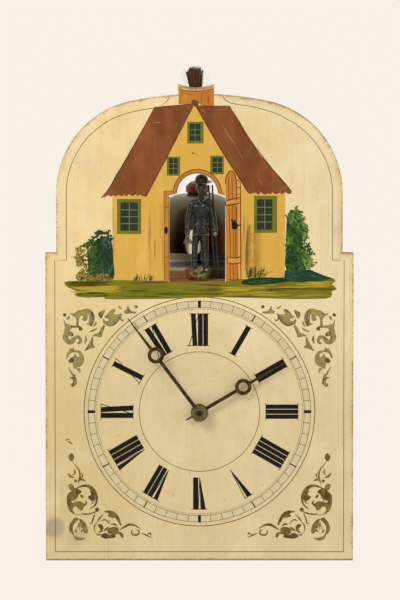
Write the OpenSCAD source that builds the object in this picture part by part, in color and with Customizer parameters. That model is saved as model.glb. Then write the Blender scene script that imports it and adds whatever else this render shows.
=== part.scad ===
// Shield clock with a painted wooden shield, a wooden movement behind it, a bell and a chimney sweep.
// Front looks along minus Y, X runs to the viewer's right, heights are drawn from the shield's bottom edge.
// The origin is the hole in the hanger plate, on the plate's rear face.

/* [Shield] */
// Width of the shield below its shoulders
shield_w = 280; // [260:1:320]
// Height of the arch above the bottom edge
shield_h = 426; // [410:1:450]
// Height of the shoulders above the bottom edge
shoulder_z = 281.5; // [275:0.5:300]
// Step in at each shoulder
shoulder_step = 10; // [4:0.5:16]
// Radius of the flat middle stretch of the arch
arch_top_r = 300; // [260:1:340]
// Radius of the arch at its sides
arch_side_r = 85; // [70:1:100]
// Thickness of the shield
shield_t = 13; // [11:0.5:18]
// Width of the chimney tab
chimney_w = 33; // [28:0.5:40]
// Place of the chimney's middle, to the right of the shield's middle
chimney_x = -3; // [-10:0.5:10]
// Height of the chimney's corners above the arch
chimney_rise = 9; // [6:0.5:12]
// Depth of the hollow in the chimney's top edge
chimney_dip = 3.2; // [1:0.1:5]

/* [Doorway] */
// Width of the doorway
door_w = 50.7; // [46:0.1:60]
// Place of the doorway's middle, to the right of the shield's middle
door_x = -1.9; // [-6:0.1:6]
// Height of the doorway's sill above the bottom edge
door_z = 255.5; // [250:0.5:262]
// Height of the doorway's straight sides
door_h = 78.5; // [70:0.5:86]
// Rise of the sloping ledge below the round head
door_ledge = 2; // [1:0.1:4]
// Radius of the doorway's round head
door_head_r = 18.1; // [16:0.1:21]

/* [Hands] */
// Height of the dial's middle above the bottom edge
dial_z = 136.8; // [136:0.1:137.6]
// Radius of the hole for the hour pipe in the shield
dial_hole_r = 6.5; // [5.5:0.1:9]
// Length of the minute hand
minute_len = 108.5; // [95:0.5:120]
// Turn of the minute hand from upright, clockwise
minute_deg = -36.9; // [-180:0.1:180]
// Distance from the middle to the ring of the minute hand
minute_ring_at = 66; // [50:0.5:80]
// Length of the hour hand
hour_len = 89.5; // [75:0.5:95]
// Turn of the hour hand from upright, clockwise
hour_deg = 59.6; // [-180:0.1:180]
// Distance from the middle to the ring of the hour hand
hour_ring_at = 46.2; // [35:0.1:58]
// Length of the hour hand's tail
hour_tail = 14; // [10:0.5:20]
// Outer radius of the rings
ring_r = 7.5; // [6:0.1:9]
// Radius of the holes in the rings
ring_hole_r = 4.2; // [3:0.1:5]
// Width of a hand's bar
hand_w = 3.2; // [2:0.1:4]
// Radius of a hand's boss
boss_r = 7.7; // [6:0.1:9]
// Thickness of a hand
hand_t = 1.5; // [1:0.1:2]
// Space between the shield and the hour hand
hand_stand = 5; // [3:0.5:8]
// Space between the two hands
hand_gap = 3.5; // [2:0.5:6]

/* [Movement frame] */
// Width of the wooden frame
frame_w = 124; // [116:1:140]
// Thickness of the top and bottom boards
board_t = 8; // [7:0.5:10]
// Height of the bottom board's underside above the shield's bottom edge
bottom_z = 87; // [78:0.5:87]
// Width of the pivot plates
plate_w = 48; // [44:1:60]
// Thickness of the pivot plates
plate_t = 9; // [9:0.5:12]
// Room for the going train
going_gap = 34; // [34:1:44]
// Room for the strike train
strike_gap = 34; // [34:1:44]
// Room for the motion work
motion_gap = 17; // [17:0.5:24]
// Thickness of the back board
back_t = 6; // [5:0.5:9]
// Height of the back board above the top board
back_rise = 8; // [4:0.5:12]
// Height of the battens on the shield
batten_h = 14; // [12:0.5:18]
// Length of the battens on the shield
batten_len = 170; // [140:1:220]

/* [Hanging] */
// Height of the hanging hole above the bottom edge
hang_z = 285; // [282:0.5:292]
// Radius of the hanging hole
hang_hole_r = 5; // [4:0.1:6]
// Thickness of the hanger plate
hanger_t = 2; // [1.5:0.1:3]
// Height of the hanger plate below the middle of its hole
hanger_drop = 30; // [24:0.5:36]
// Width of the hanger plate
hanger_w = 34; // [28:1:44]
// Distance from the hanger plate's rear face to the wall
wall_gap = 24; // [22:0.5:32]
// Radius of the wall pegs
peg_r = 5; // [4:0.1:7]

/* [Side doors] */
// Thickness of the side doors
leaf_t = 5; // [4:0.5:7]
// Radius of the pins that the doors turn on
leaf_pin_r = 2; // [1.2:0.1:2.2]
// Gap around the doors
leaf_gap = 0.6; // [0.4:0.1:1.5]
// Radius of the door knobs
knob_r = 5; // [4:0.1:7]

/* [Trains] */
// Tooth size of the great wheels
great_m = 0.85; // [0.8:0.01:0.88]
// Teeth of the great wheels
great_n = 64; // [56:1:64]
// Tooth size of the second wheels
second_m = 0.8; // [0.75:0.01:0.84]
// Teeth of the second wheels
second_n = 54; // [46:1:54]
// Trundles of the lantern pinions in the trains
lantern_n = 6; // [6:1:8]
// Teeth of the escape wheel
escape_n = 42; // [36:1:48]
// Radius of the escape wheel
escape_r = 15.5; // [13:0.1:16]
// Clearance between the escape wheel and the anchor
anchor_gap = 1.4; // [1.3:0.1:2]
// Thickness of the wheels
wheel_t = 2; // [1.5:0.1:2.2]
// Radius of the arbors
arbor_r = 1.4; // [1.1:0.05:1.4]
// Radius of the arbors' pivots
pivot_r = 0.9; // [0.7:0.05:1]
// Radius of the great arbors
great_arbor_r = 2; // [1.8:0.1:3]
// Radius of the great arbors' pivots
great_pivot_r = 1.5; // [1.2:0.1:1.7]
// Radius of the brass bushes
bush_r = 3; // [2.5:0.1:3.5]
// Depth of the brass bushes in the plates
bush_t = 4; // [3:0.1:4.4]
// Outer radius of the chain sprockets
sprocket_r = 13; // [11:0.5:15]
// Clearance of shafts in their holes
run_gap = 0.05; // [0.02:0.01:0.1]

/* [Motion work] */
// Tooth size of the drive wheel and the minute wheel
drive_m = 1.2; // [1.1:0.01:1.25]
// Teeth of the drive wheel and the minute wheel
drive_n = 24; // [22:1:24]
// Tooth size of the minute lantern
minute_m = 1.375; // [1.2:0.005:1.45]
// Radius of the hand stud
stud_r = 2; // [1.6:0.1:2.1]
// Wall of the minute pipe and the hour pipe
pipe_wall = 1.2; // [0.9:0.1:1.3]

/* [Pendulum] */
// Length from the pendulum's pivot to the middle of the bob
pendulum_len = 198; // [170:1:205]
// Radius of the bob
bob_r = 21; // [16:0.5:24]
// Thickness of the bob
bob_t = 8; // [6:0.5:9]
// Radius of the pendulum rod
pendulum_rod_r = 1.1; // [0.8:0.1:1.5]
// Length of the crutch
crutch_len = 46; // [38:1:56]

/* [Bell and hammer] */
// Radius of the bell at its rim
bell_r = 38; // [36:0.5:40]
// Height of the bell
bell_h = 52; // [46:0.5:56]
// Wall of the bell
bell_wall = 2; // [1.6:0.1:2.5]
// Height of the bell's rim above the top board
bell_lift = 13; // [11:0.5:18]
// Radius of the bell post
bell_post_r = 3; // [2.5:0.1:3.5]
// Radius of the wooden knob on the bell
bell_knob_r = 10.5; // [8:0.5:13]
// Radius of the hammer's head
hammer_head_r = 4; // [3:0.1:4.5]
// Length of the hammer's head
hammer_head_len = 9; // [6:0.5:10]
// Gap between the hammer and the bell at rest
hammer_gap = 0.6; // [0.4:0.1:1.5]

/* [Sweep and brush] */
// Radius of the rock base
rock_r = 11.5; // [10:0.1:12]
// Height of the rock base
rock_h = 16; // [12:0.5:18]
// Height of the figure above the rock base
figure_h = 82; // [72:0.5:83]
// Distance from the shield's back to the middle of the figure
figure_inset = 4; // [3:0.1:5]
// Length of the ladder
ladder_len = 78; // [60:1:80]
// Radius of the tuft at its foot
tuft_r = 5; // [4:0.1:6]
// Height of the tuft
tuft_h = 28; // [20:0.5:30]
// Strands of the tuft
tuft_n = 320; // [300:1:400]
// Radius of the brush rod
brush_rod_r = 1.6; // [1.2:0.1:2]
// Distance from the shield's back to the brush rod
brush_inset = 11; // [10.5:0.5:14]

/* [Hidden] */
$fn = 64;

// Depths from the hanger plate's rear face towards the front
y_back = -hanger_t;
y_rear0 = y_back - back_t;
y_rear1 = y_rear0 - plate_t;
y_mid0 = y_rear1 - strike_gap;
y_mid1 = y_mid0 - plate_t;
y_front0 = y_mid1 - going_gap;
y_front1 = y_front0 - plate_t;
y_shield = y_front1 - motion_gap;
y_face = y_shield - shield_t;

// Heights of the boards
bottom_top = bottom_z + board_t;
top_z = door_z + board_t;

// Shield outline
arch_half = shield_w / 2 - shoulder_step;
arch_side_x = arch_half - arch_side_r;
arch_mid_z = shield_h - arch_top_r;
arch_side_z = arch_mid_z + sqrt(pow(arch_top_r - arch_side_r, 2) - pow(arch_side_x, 2));
chimney_z = shield_h + chimney_rise;
chimney_hollow_r = (pow(chimney_w / 2, 2) + pow(chimney_dip, 2)) / (2 * chimney_dip);
door_head_z = door_z + door_h + door_ledge;

// Tooth shape in modules and in shares of the pitch
tooth_add = 1.1;
tooth_ded = 1.2;
tooth_half = 0.2;
tooth_tip = 0.06;
trundle_k = 0.52;
shroud_k = 0.95;
shroud_t = 1;
wheel_rim = 2.4;
spoke_w = 2.6;
wheel_hub_r = 5;

// Motion work counts, one turn of the hour hand to twelve of the minute hand
motion_lantern_n = 8;
reverse_n = 24;
hour_n = 12 * pow(motion_lantern_n, 2) / reverse_n;

// Heights of the arbors, all on the middle line
great_z = dial_z + drive_n * drive_m;
second_z = great_z + (great_n + lantern_n) * great_m / 2;
escape_z = second_z + (second_n + lantern_n) * second_m / 2;
anchor_reach = escape_r + anchor_gap + 5.1;
anchor_z = escape_z + anchor_reach;
reverse_reach = (motion_lantern_n + reverse_n) * minute_m / 2;
reverse_z = dial_z - reverse_reach;
hour_m = 2 * reverse_reach / (motion_lantern_n + hour_n);

// Places of the wheels in the depth of the going train, each the wheel's rear face
going_great_y = y_front0 + 6;
going_sprocket_y = y_front0 + 17.5;
escape_y = y_front0 + 19.5;
second_y = y_mid1 - 4;
anchor_t = 5.5;

// Places of the wheels in the depth of the strike train
strike_great_y = y_rear1 - 8;
strike_second_y = y_mid0 + 7;
strike_sprocket_y = y_mid0 + 16;
sprocket_t = 7.5;
fly_y = y_rear1 - 3;
fly_len = 15;
fly_half = 12.5;
fly_t = 1;

// Lifting pins of the strike great wheel
lift_pin_n = 8;
lift_pin_r = 1;
lift_pin_at = great_n * great_m / 2 - tooth_ded * great_m - wheel_rim / 2;
lift_pin_len = 5;

// Motion work, from the front plate towards the shield
drive_y = y_front1 - 1.5;
minute_lantern_y = drive_y - wheel_t - 0.5;
minute_lantern_len = 5;
hour_y = minute_lantern_y - minute_lantern_len - 1;
reverse_y = minute_lantern_y - 1.5;
minute_pipe_r = stud_r + run_gap + pipe_wall;
hour_pipe_r = minute_pipe_r + run_gap + pipe_wall;
reverse_stud_r = 1.5;
reverse_tube_r = reverse_stud_r + run_gap + 0.8;
hour_hand_y = y_face - hand_stand;
minute_hand_y = hour_hand_y - hand_t - hand_gap;
nut_r = 5;
nut_t = 2.5;

// Hammer, turned on an arbor to the right of the strike train
hammer_x = 17;
hammer_z = escape_z - 5;
hammer_lift = 10;
stem_r = 1.5;
hammer_hub_r = 3.4;
hammer_hub_t = 4;
bell_x = door_x;
post_room = bell_post_r + 4;
stem_y = y_mid0 + 10;
bell_y = stem_y - post_room;
rim_z = top_z + bell_lift;
head_z = rim_z + hammer_head_r + 1;
bell_in_r = bell_r - bell_wall;
head_end_x = bell_x + sqrt(pow(bell_in_r, 2) - pow(post_room + hammer_head_r, 2)) - hammer_gap;
head_x = head_end_x - hammer_head_len / 2;
hammer_lean = atan2(head_x - hammer_x, head_z - hammer_z);
stem_len = norm([head_x - hammer_x, head_z - hammer_z]);
tail_y = strike_great_y - wheel_t - 1;
tail_len = 24;
tail_lean = 14;
tail_r = 1;
tail_hub_t = 3;
bell_pow = 3.6;
bell_steps = 16;
bell_foot = 1.4;
bell_knob_h = 10;
slot_clear = 1.5;

// Pendulum behind the back board
pendulum_y = wall_gap / 2;
cock_pin_r = 1.2;
cock_t = 2;
eye_r = 3.2;
eye_t = 3;
crutch_y = 2;
crutch_t = 2.4;
crutch_bar = 1.8;
crutch_play = 0.3;
bob_rim = 1;
bob_rise = bob_t - bob_rim;
bob_dome_r = (pow(bob_r, 2) + pow(bob_rise, 2)) / (2 * bob_rise);
bob_steps = 8;
bob_tube_r = pendulum_rod_r + 1;
bob_back = pendulum_rod_r + 0.4;
rating_nut_r = 4;
rating_nut_h = 3;
rod_below = 7;

// Screws
screw_r = 1.5;
screw_head_r = 3.2;
screw_head_h = 2;
screw_len = batten_h + 4.5;
hanger_screw_len = hanger_t + back_t - 1;
batten_screw_x = 15;
cleat_screw_x = 55;

// Holes, pegs and the hanger plate's lower end
chain_slot_w = 34;
chain_slot_room = 1.5;
anchor_pass_r = 4;
peg_x = frame_w / 2 - 16;
peg_z = bottom_top + 10;
hanger_low = hang_z - hanger_drop;
hanger_screw_z = hanger_low + hanger_drop / 5;

// Side doors
leaf_x = frame_w / 2 - leaf_t / 2;
leaf_pin_y = y_rear0 - 5.5;
leaf_rear = 3;
leaf_len = leaf_pin_y - y_front1 - leaf_gap;
leaf_pin_len = 5;
knob_y = y_front1 + 12;
knob_z = (bottom_top + door_z) / 2;
knob_out = 12;
knob_shank_r = knob_r * 0.4;
knob_mid = leaf_t + knob_out - knob_r;
knob_neck = asin(knob_shank_r / knob_r);
knob_steps = 12;

// Sweep in the doorway
figure_x = door_x;
figure_y = y_shield + figure_inset;
figure_drawn = 80;
rock_gap = 0.3;
rock_pin_r = 1.5;
rock_pin_len = 8;
wire_r = 0.7;
wire_reach = 21;
ladder_gap = 5;
ladder_turn = 40;
ladder_rail_r = 0.8;
ladder_rung_r = 0.5;
ladder_rungs = 9;
ladder_x = 17.3;
ladder_lean = 4;
ladder_foot_z = 9;

// Brush behind the chimney
guide_w = 24;
guide_h = 26;
guide_top = chimney_z - chimney_dip - 14;
brush_y = y_shield + brush_inset;
ferrule_h = 6;
rod_below_guide = 24;
tuft_slice = 1.2;
tuft_spread = 1.75;
tuft_lean = 3;
strand_r = 0.13;
tuft_base = guide_top + ferrule_h;

wood_raw = "#b98d55";
wood_old = "#8d6238";
iron = "#3c3a38";
steel = "#8b8f94";
brass = "#b3903c";

// Common forms

// Moves a piece drawn from the shield's bottom edge to the hanging hole
module hang() translate([0, 0, -hang_z]) children();

// Plate drawn in X and Z, with its rear face at a depth
module slab(rear, t) translate([0, rear, 0]) rotate([90, 0, 0]) linear_extrude(t) children();

// Round bar along the depth, from its rear end forward
module bar_y(r, rear, len, x = 0, z = 0)
  translate([x, rear, z]) rotate([90, 0, 0]) cylinder(r = r, h = len);

module ring_2d(outer, inner) difference() {
  circle(outer);
  circle(inner);
}

module box_2d(w, low, high) translate([-w / 2, low]) square([w, high - low]);

function polar(r, a) = [r * cos(a), r * sin(a)];

// Tooth outline points of a wheel with a gap at the given angle
function wheel_points(n, m, gap_at) = [
  for (i = [0 : n - 1])
    for (q = [[-tooth_ded, -tooth_half], [0, -tooth_half], [tooth_add, -tooth_tip],
              [tooth_add, tooth_tip], [0, tooth_half], [-tooth_ded, tooth_half]])
      polar(n * m / 2 + q[0] * m, gap_at + (i + 0.5 + q[1]) * 360 / n)
];

// Crossed out wheel with its bore
module wheel_2d(n, m, gap_at, bore_r, hub_r = wheel_hub_r, spokes = 4) {
  window_r = n * m / 2 - tooth_ded * m - wheel_rim;
  difference() {
    polygon(wheel_points(n, m, gap_at));
    circle(bore_r);
    difference() {
      circle(window_r);
      circle(hub_r);
      for (k = [0 : spokes - 1])
        rotate(45 + k * 360 / spokes) translate([0, -spoke_w / 2]) square([window_r * 2, spoke_w]);
    }
  }
}

// Toothed disc with its bore
module disc_wheel_2d(n, m, gap_at, bore_r) difference() {
  polygon(wheel_points(n, m, gap_at));
  circle(bore_r);
}

// Lantern pinion: trundles between two shrouds, with a trundle at the given angle
module lantern(n, m, rear, len, trundle_at, bore_r = 0) {
  r = n * m / 2;
  shroud_r = r + shroud_k * m;
  for (end = [rear, rear - len + shroud_t]) slab(end, shroud_t) difference() {
    circle(shroud_r);
    if (bore_r > 0) circle(bore_r);
  }
  for (k = [0 : n - 1]) {
    p = polar(r, trundle_at + k * 360 / n);
    bar_y(trundle_k * m, rear - shroud_t / 2, len - shroud_t, p[0], p[1]);
  }
}

// Arbor with a pivot at each end, running in the bushes of two plates
module arbor(rear, len, r, end_r, rear_more = 0, front_more = 0) {
  shoulder = 0.4;
  bar_y(r, rear - shoulder, len - 2 * shoulder);
  bar_y(end_r, rear + bush_t + rear_more, len + 2 * bush_t + rear_more + front_more);
}

module at_height(z, x = 0) translate([x, 0, z]) children();

// Chain sprocket between two flanges, with spikes that catch the links
module sprocket(rear) {
  flange_t = 1.2;
  drum_r = sprocket_r - 4;
  spike_r = 0.9;
  spikes = 6;
  difference() {
    union() {
      bar_y(sprocket_r, rear, flange_t);
      bar_y(drum_r, rear, sprocket_t);
      bar_y(sprocket_r, rear - sprocket_t + flange_t, flange_t);
      for (k = [0 : spikes - 1])
        translate([0, rear - sprocket_t / 2, 0]) rotate([0, k * 360 / spikes, 0])
          cylinder(r = spike_r, h = sprocket_r - 0.8);
    }
    bar_y(great_arbor_r, rear + 1, sprocket_t + 2);
  }
}

// Countersunk screw along Z, head face at zero
module screw(len) {
  translate([0, 0, -screw_head_h]) cylinder(r1 = screw_r, r2 = screw_head_r, h = screw_head_h);
  translate([0, 0, -len]) cylinder(r = screw_r, h = len);
}

// Hand: boss, bar, ring and point, drawn upright from the dial's middle and turned clockwise
module hand(rear, len, ring_at, bore_r, tail, turn) {
  point_w = hand_w * 0.9;
  tip_w = 0.5;
  ring_low = ring_at - ring_r + 1;
  ring_high = ring_at + ring_r - 1;
  at_height(dial_z) rotate([0, turn, 0]) difference() {
    union() {
      slab(rear, hand_t) circle(boss_r);
      slab(rear, hand_t) box_2d(hand_w, 0, ring_low);
      slab(rear, hand_t) translate([0, ring_at]) circle(ring_r);
      slab(rear, hand_t)
        polygon([[-point_w / 2, ring_high], [-tip_w / 2, len], [tip_w / 2, len], [point_w / 2, ring_high]]);
      if (tail > 0) slab(rear, hand_t)
        polygon([[-hand_w / 2, 0], [hand_w / 2, 0], [tip_w, -tail], [-tip_w, -tail]]);
    }
    slab(rear + 1, hand_t + 2) circle(bore_r);
    slab(rear + 1, hand_t + 2) translate([0, ring_at]) circle(ring_hole_r);
  }
}

// Shield

module shield_2d() {
  wedge = arch_top_r * 1.4;
  aim = [arch_side_x, arch_side_z - arch_mid_z] / (arch_top_r - arch_side_r);
  box_2d(shield_w, 0, shoulder_z);
  box_2d(2 * arch_half, shoulder_z, arch_side_z);
  for (side = [-1, 1]) translate([side * arch_side_x, arch_side_z]) circle(arch_side_r);
  intersection() {
    translate([0, arch_mid_z]) circle(arch_top_r);
    translate([0, arch_mid_z]) polygon([[0, 0], wedge * aim, [-wedge * aim[0], wedge * aim[1]]]);
  }
  difference() {
    translate([chimney_x, 0]) box_2d(chimney_w, arch_side_z, chimney_z);
    translate([chimney_x, chimney_z - chimney_dip + chimney_hollow_r]) circle(chimney_hollow_r);
  }
}

module doorway_2d() translate([door_x, 0]) {
  box_2d(door_w, door_z, door_z + door_h);
  polygon([[-door_w / 2, door_z + door_h], [-door_head_r, door_head_z], [door_head_r, door_head_z],
           [door_w / 2, door_z + door_h]]);
  translate([0, door_head_z]) circle(door_head_r);
}

module shield_board() color("#e8d6a8") hang() slab(y_shield, shield_t) difference() {
  shield_2d();
  doorway_2d();
  translate([0, dial_z]) circle(dial_hole_r);
}

// The upper batten lies under the sill, the lower one under the bottom board
module shield_battens() color(wood_raw) hang() difference() {
  for (low = [door_z - batten_h, bottom_z - batten_h])
    translate([-batten_len / 2, y_shield, low]) cube([batten_len, motion_gap, batten_h]);
  screws_in_battens();
  translate([figure_x, figure_y, door_z - rock_pin_len - 1])
    cylinder(r = rock_pin_r + run_gap, h = rock_pin_len + 2);
}

module screws_in_battens() {
  for (side = [-1, 1]) {
    translate([side * batten_screw_x, y_front0, door_z - batten_h / 2]) rotate([-90, 0, 0]) screw(screw_len);
    translate([side * cleat_screw_x, y_shield + motion_gap / 2, bottom_z - batten_h])
      rotate([180, 0, 0]) screw(screw_len);
  }
}

module batten_screws() color(steel) hang() screws_in_battens();

// Movement frame

module hammer_slot() {
  room = stem_r + slot_clear;
  at_x = [
    for (z = [door_z, top_z]) for (lift = [0, hammer_lift])
      hammer_x + (z - hammer_z) * tan(hammer_lean - lift)
  ];
  slot_len = max(at_x) - min(at_x) + 2 * room;
  translate([min(at_x) - room, stem_y - room, door_z - 1]) cube([slot_len, 2 * room, board_t + 2]);
}

module leaf_holes(z) for (side = [-1, 1])
  translate([side * leaf_x, leaf_pin_y, z]) cylinder(r = leaf_pin_r + run_gap, h = leaf_pin_len + leaf_gap);

module top_board() color(wood_raw) hang() difference() {
  translate([-frame_w / 2, y_front1, door_z]) cube([frame_w, y_rear0 - y_front1, board_t]);
  hammer_slot();
  translate([bell_x, bell_y, door_z - 1]) cylinder(r = bell_post_r, h = board_t + 2);
  leaf_holes(door_z - 0.01);
}

// The bottom board runs on to the shield, above the lower batten
module bottom_board() color(wood_raw) hang() difference() {
  translate([-frame_w / 2, y_shield, bottom_z]) cube([frame_w, y_rear0 - y_shield, board_t]);
  for (rear = [going_sprocket_y, strike_sprocket_y])
    translate([-chain_slot_w / 2, rear - sprocket_t - chain_slot_room, bottom_z - 1])
      cube([chain_slot_w, sprocket_t + 2 * chain_slot_room, board_t + 2]);
  leaf_holes(bottom_top - leaf_pin_len - leaf_gap + 0.01);
  screws_in_battens();
}

module plate_2d() difference() {
  box_2d(plate_w, bottom_top, door_z);
  for (z = [great_z, second_z, escape_z]) translate([0, z]) circle(bush_r);
}

module front_plate() color(wood_old) hang() difference() {
  slab(y_front0, plate_t) difference() {
    plate_2d();
    translate([0, anchor_z]) circle(bush_r);
    translate([0, dial_z]) circle(stud_r);
    translate([0, reverse_z]) circle(reverse_stud_r);
  }
  screws_in_battens();
}

module middle_plate() color(wood_old) hang() slab(y_mid0, plate_t) difference() {
  plate_2d();
  translate([0, anchor_z]) circle(anchor_pass_r);
  translate([hammer_x, hammer_z]) circle(bush_r);
}

module rear_plate() color(wood_old) hang() slab(y_rear0, plate_t) difference() {
  plate_2d();
  translate([0, anchor_z]) circle(bush_r);
  translate([hammer_x, hammer_z]) circle(bush_r);
}

module back_2d() {
  tongue_r = hanger_w / 2 + 5;
  box_2d(frame_w, bottom_z, top_z + back_rise);
  box_2d(2 * tongue_r, top_z, hang_z);
  translate([0, hang_z]) circle(tongue_r);
}

module back_board() color(wood_raw) hang() difference() {
  slab(y_back, back_t) difference() {
    back_2d();
    translate([0, hang_z]) circle(hang_hole_r + 4);
    translate([0, anchor_z]) circle(anchor_pass_r);
    for (side = [-1, 1]) translate([side * peg_x, peg_z]) circle(peg_r);
  }
  screws_in_hanger();
}

module wall_pegs() color(wood_old) hang() for (side = [-1, 1]) at_height(peg_z, side * peg_x) {
  tip = 1;
  bar_y(peg_r, wall_gap - tip, wall_gap - tip - y_rear0);
  translate([0, wall_gap - tip, 0]) rotate([-90, 0, 0]) cylinder(r1 = peg_r, r2 = peg_r - tip, h = tip);
}

module screws_in_hanger() for (side = [-1, 1])
  translate([side * hanger_w / 4, 0, hanger_screw_z]) rotate([-90, 0, 0]) screw(hanger_screw_len);

module hanger_plate() color(iron) hang() difference() {
  slab(0, hanger_t) difference() {
    union() {
      box_2d(hanger_w, hanger_low, hang_z);
      translate([0, hang_z]) circle(hanger_w / 2);
    }
    translate([0, hang_z]) circle(hang_hole_r);
  }
  screws_in_hanger();
}

module hanger_screws() color(steel) hang() screws_in_hanger();

module bush(rear, bore_r) slab(rear, bush_t) ring_2d(bush_r, bore_r);

// Brass bushes, flush with the faces of the plates that look at the wheels
module pivot_bushes() color(brass) hang() {
  going_ends = [y_front0, y_mid1 + bush_t];
  strike_ends = [y_mid0, y_rear1 + bush_t];
  for (rear = concat(going_ends, strike_ends)) {
    at_height(great_z) bush(rear, great_pivot_r + run_gap);
    at_height(second_z) bush(rear, pivot_r + run_gap);
    at_height(escape_z) bush(rear, pivot_r + run_gap);
  }
  for (rear = [y_front0, y_rear1 + bush_t]) at_height(anchor_z) bush(rear, pivot_r + run_gap);
  for (rear = strike_ends) at_height(hammer_z, hammer_x) bush(rear, pivot_r + run_gap);
}

// Side doors

module door_leaf(side) difference() {
  union() {
    translate([side * leaf_x - leaf_t / 2, leaf_pin_y - leaf_len, bottom_top + leaf_gap])
      cube([leaf_t, leaf_len + leaf_rear, door_z - bottom_top - 2 * leaf_gap]);
    translate([side * leaf_x, leaf_pin_y, bottom_top - leaf_pin_len + leaf_gap])
      cylinder(r = leaf_pin_r, h = door_z - bottom_top + 2 * (leaf_pin_len - leaf_gap));
  }
  knob_shank(side);
}

module knob_shank(side) translate([side * (leaf_x - leaf_t / 2 - 1), knob_y, knob_z])
  rotate([0, side * 90, 0]) cylinder(r = knob_shank_r, h = leaf_t + 2);

// Turned knob, its shank glued into the door
module door_knob(side) translate([side * (leaf_x - leaf_t / 2), knob_y, knob_z]) rotate([0, side * 90, 0])
  rotate_extrude() polygon(concat([[0, 0], [knob_shank_r, 0]], [
    for (i = [0 : knob_steps]) let (a = knob_neck + (180 - knob_neck) * i / knob_steps)
      [knob_r * sin(a), knob_mid - knob_r * cos(a)]
  ]));

module left_door() color(wood_raw) hang() door_leaf(-1);
module right_door() color(wood_raw) hang() door_leaf(1);
module left_door_knob() color(wood_old) hang() door_knob(-1);
module right_door_knob() color(wood_old) hang() door_knob(1);

// Bell and hammer

function bell_side(r, h) = [
  for (i = [0 : bell_steps]) let (a = 90 * i / bell_steps)
    [r * pow(cos(a), 2 / bell_pow), h * pow(sin(a), 2 / bell_pow)]
];

module bell() color("#4a463e") hang() translate([bell_x, bell_y, rim_z]) difference() {
  rotate_extrude() polygon(concat(bell_side(bell_r, bell_h), [[0, 0]]));
  rotate_extrude() polygon(concat(bell_side(bell_in_r, bell_h - bell_wall), [[0, -1], [bell_in_r, -1]]));
  cylinder(r = bell_post_r - bell_foot / 2, h = bell_h + 1);
}

// Iron post, shouldered under the bell's crown
module bell_post() color(iron) hang() translate([bell_x, bell_y, door_z]) {
  seat_z = rim_z + bell_h - bell_wall - door_z;
  cylinder(r = bell_post_r, h = seat_z);
  cylinder(r = bell_post_r - bell_foot / 2, h = seat_z + bell_wall + bell_knob_h - 1);
  translate([0, 0, board_t]) cylinder(r = bell_post_r + 2, h = 3);
}

module bell_knob() color("#6b4526") hang() translate([bell_x, bell_y, rim_z + bell_h]) difference() {
  rotate_extrude() polygon([[0, 0], [bell_knob_r * 0.8, 0], [bell_knob_r, 2], [bell_knob_r, bell_knob_h - 3],
                            [bell_knob_r * 0.7, bell_knob_h], [0, bell_knob_h]]);
  translate([0, 0, -1]) cylinder(r = bell_post_r - bell_foot / 2, h = bell_knob_h);
}

module hammer_arbor() color(steel) hang() at_height(hammer_z, hammer_x) {
  arbor(y_rear1, strike_gap, arbor_r, pivot_r);
  difference() {
    bar_y(hammer_hub_r, tail_y, tail_hub_t);
    bar_y(arbor_r, tail_y + 1, tail_hub_t + 2);
  }
  translate([0, tail_y - tail_hub_t / 2, 0]) rotate([0, 180 + tail_lean, 0])
    translate([0, 0, arbor_r]) cylinder(r = tail_r, h = tail_len - arbor_r);
}

module hammer() color(iron) hang() at_height(hammer_z, hammer_x) difference() {
  union() {
    bar_y(hammer_hub_r, stem_y + hammer_hub_t / 2, hammer_hub_t);
    translate([0, stem_y, 0]) rotate([0, hammer_lean, 0]) cylinder(r = stem_r, h = stem_len);
    translate([head_x - hammer_x - hammer_head_len / 2, stem_y, head_z - hammer_z]) rotate([0, 90, 0])
      cylinder(r = hammer_head_r, h = hammer_head_len);
  }
  bar_y(arbor_r, stem_y + hammer_hub_t, 2 * hammer_hub_t);
}

// Going train

module great_wheel(rear) slab(rear, wheel_t) wheel_2d(great_n, great_m, 90, great_arbor_r);

module going_great_arbor() color(steel) hang() at_height(great_z)
  arbor(y_mid1, going_gap, great_arbor_r, great_pivot_r, 0, plate_t - bush_t + wheel_t + 3);
module going_great_wheel() color(brass) hang() at_height(great_z) great_wheel(going_great_y);
module going_sprocket() color(wood_old) hang() at_height(great_z) sprocket(going_sprocket_y);

// Arbor with a lantern that meshes with the great wheel below it
module lantern_arbor(rear, len, mesh_rear, m) {
  lantern_room = 2;
  mid = mesh_rear - wheel_t / 2;
  lantern_len = wheel_t + 2 * lantern_room + 2 * shroud_t - 2;
  core_r = lantern_n * m / 2 - tooth_add * m - 0.25;
  difference() {
    arbor(rear, len, arbor_r, pivot_r);
    slab(mid + lantern_len / 2 - shroud_t, lantern_len - 2 * shroud_t) ring_2d(2 * arbor_r, core_r);
  }
  lantern(lantern_n, m, mid + lantern_len / 2, lantern_len, 270);
}

module second_arbor() color(steel) hang() at_height(second_z)
  lantern_arbor(y_mid1, going_gap, going_great_y, great_m);
module second_wheel() color(brass) hang() at_height(second_z)
  slab(second_y, wheel_t) wheel_2d(second_n, second_m, 90, arbor_r);
module escape_arbor() color(steel) hang() at_height(escape_z)
  lantern_arbor(y_mid1, going_gap, second_y, second_m);

module escape_wheel() color(brass) hang() at_height(escape_z) slab(escape_y, wheel_t) difference() {
  root_r = escape_r - 2.2;
  window_r = root_r - 2;
  pitch = 360 / escape_n;
  polygon([
    for (i = [0 : escape_n - 1]) for (q = [[root_r, 0.1], [escape_r, 0.8]]) polar(q[0], (i + q[1]) * pitch)
  ]);
  circle(arbor_r);
  difference() {
    circle(window_r);
    circle(wheel_hub_r - 1);
    for (k = [0 : 3]) rotate(45 + k * 90) translate([0, -1]) square([window_r * 2, 2]);
  }
}

module anchor_arbor() color(steel) hang() at_height(anchor_z) {
  bar_y(pivot_r, crutch_y + crutch_t, crutch_t + crutch_y - y_front0 + bush_t);
  bar_y(arbor_r, y_rear1 - 0.4, y_rear1 - y_front0 - 0.8);
}

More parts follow.
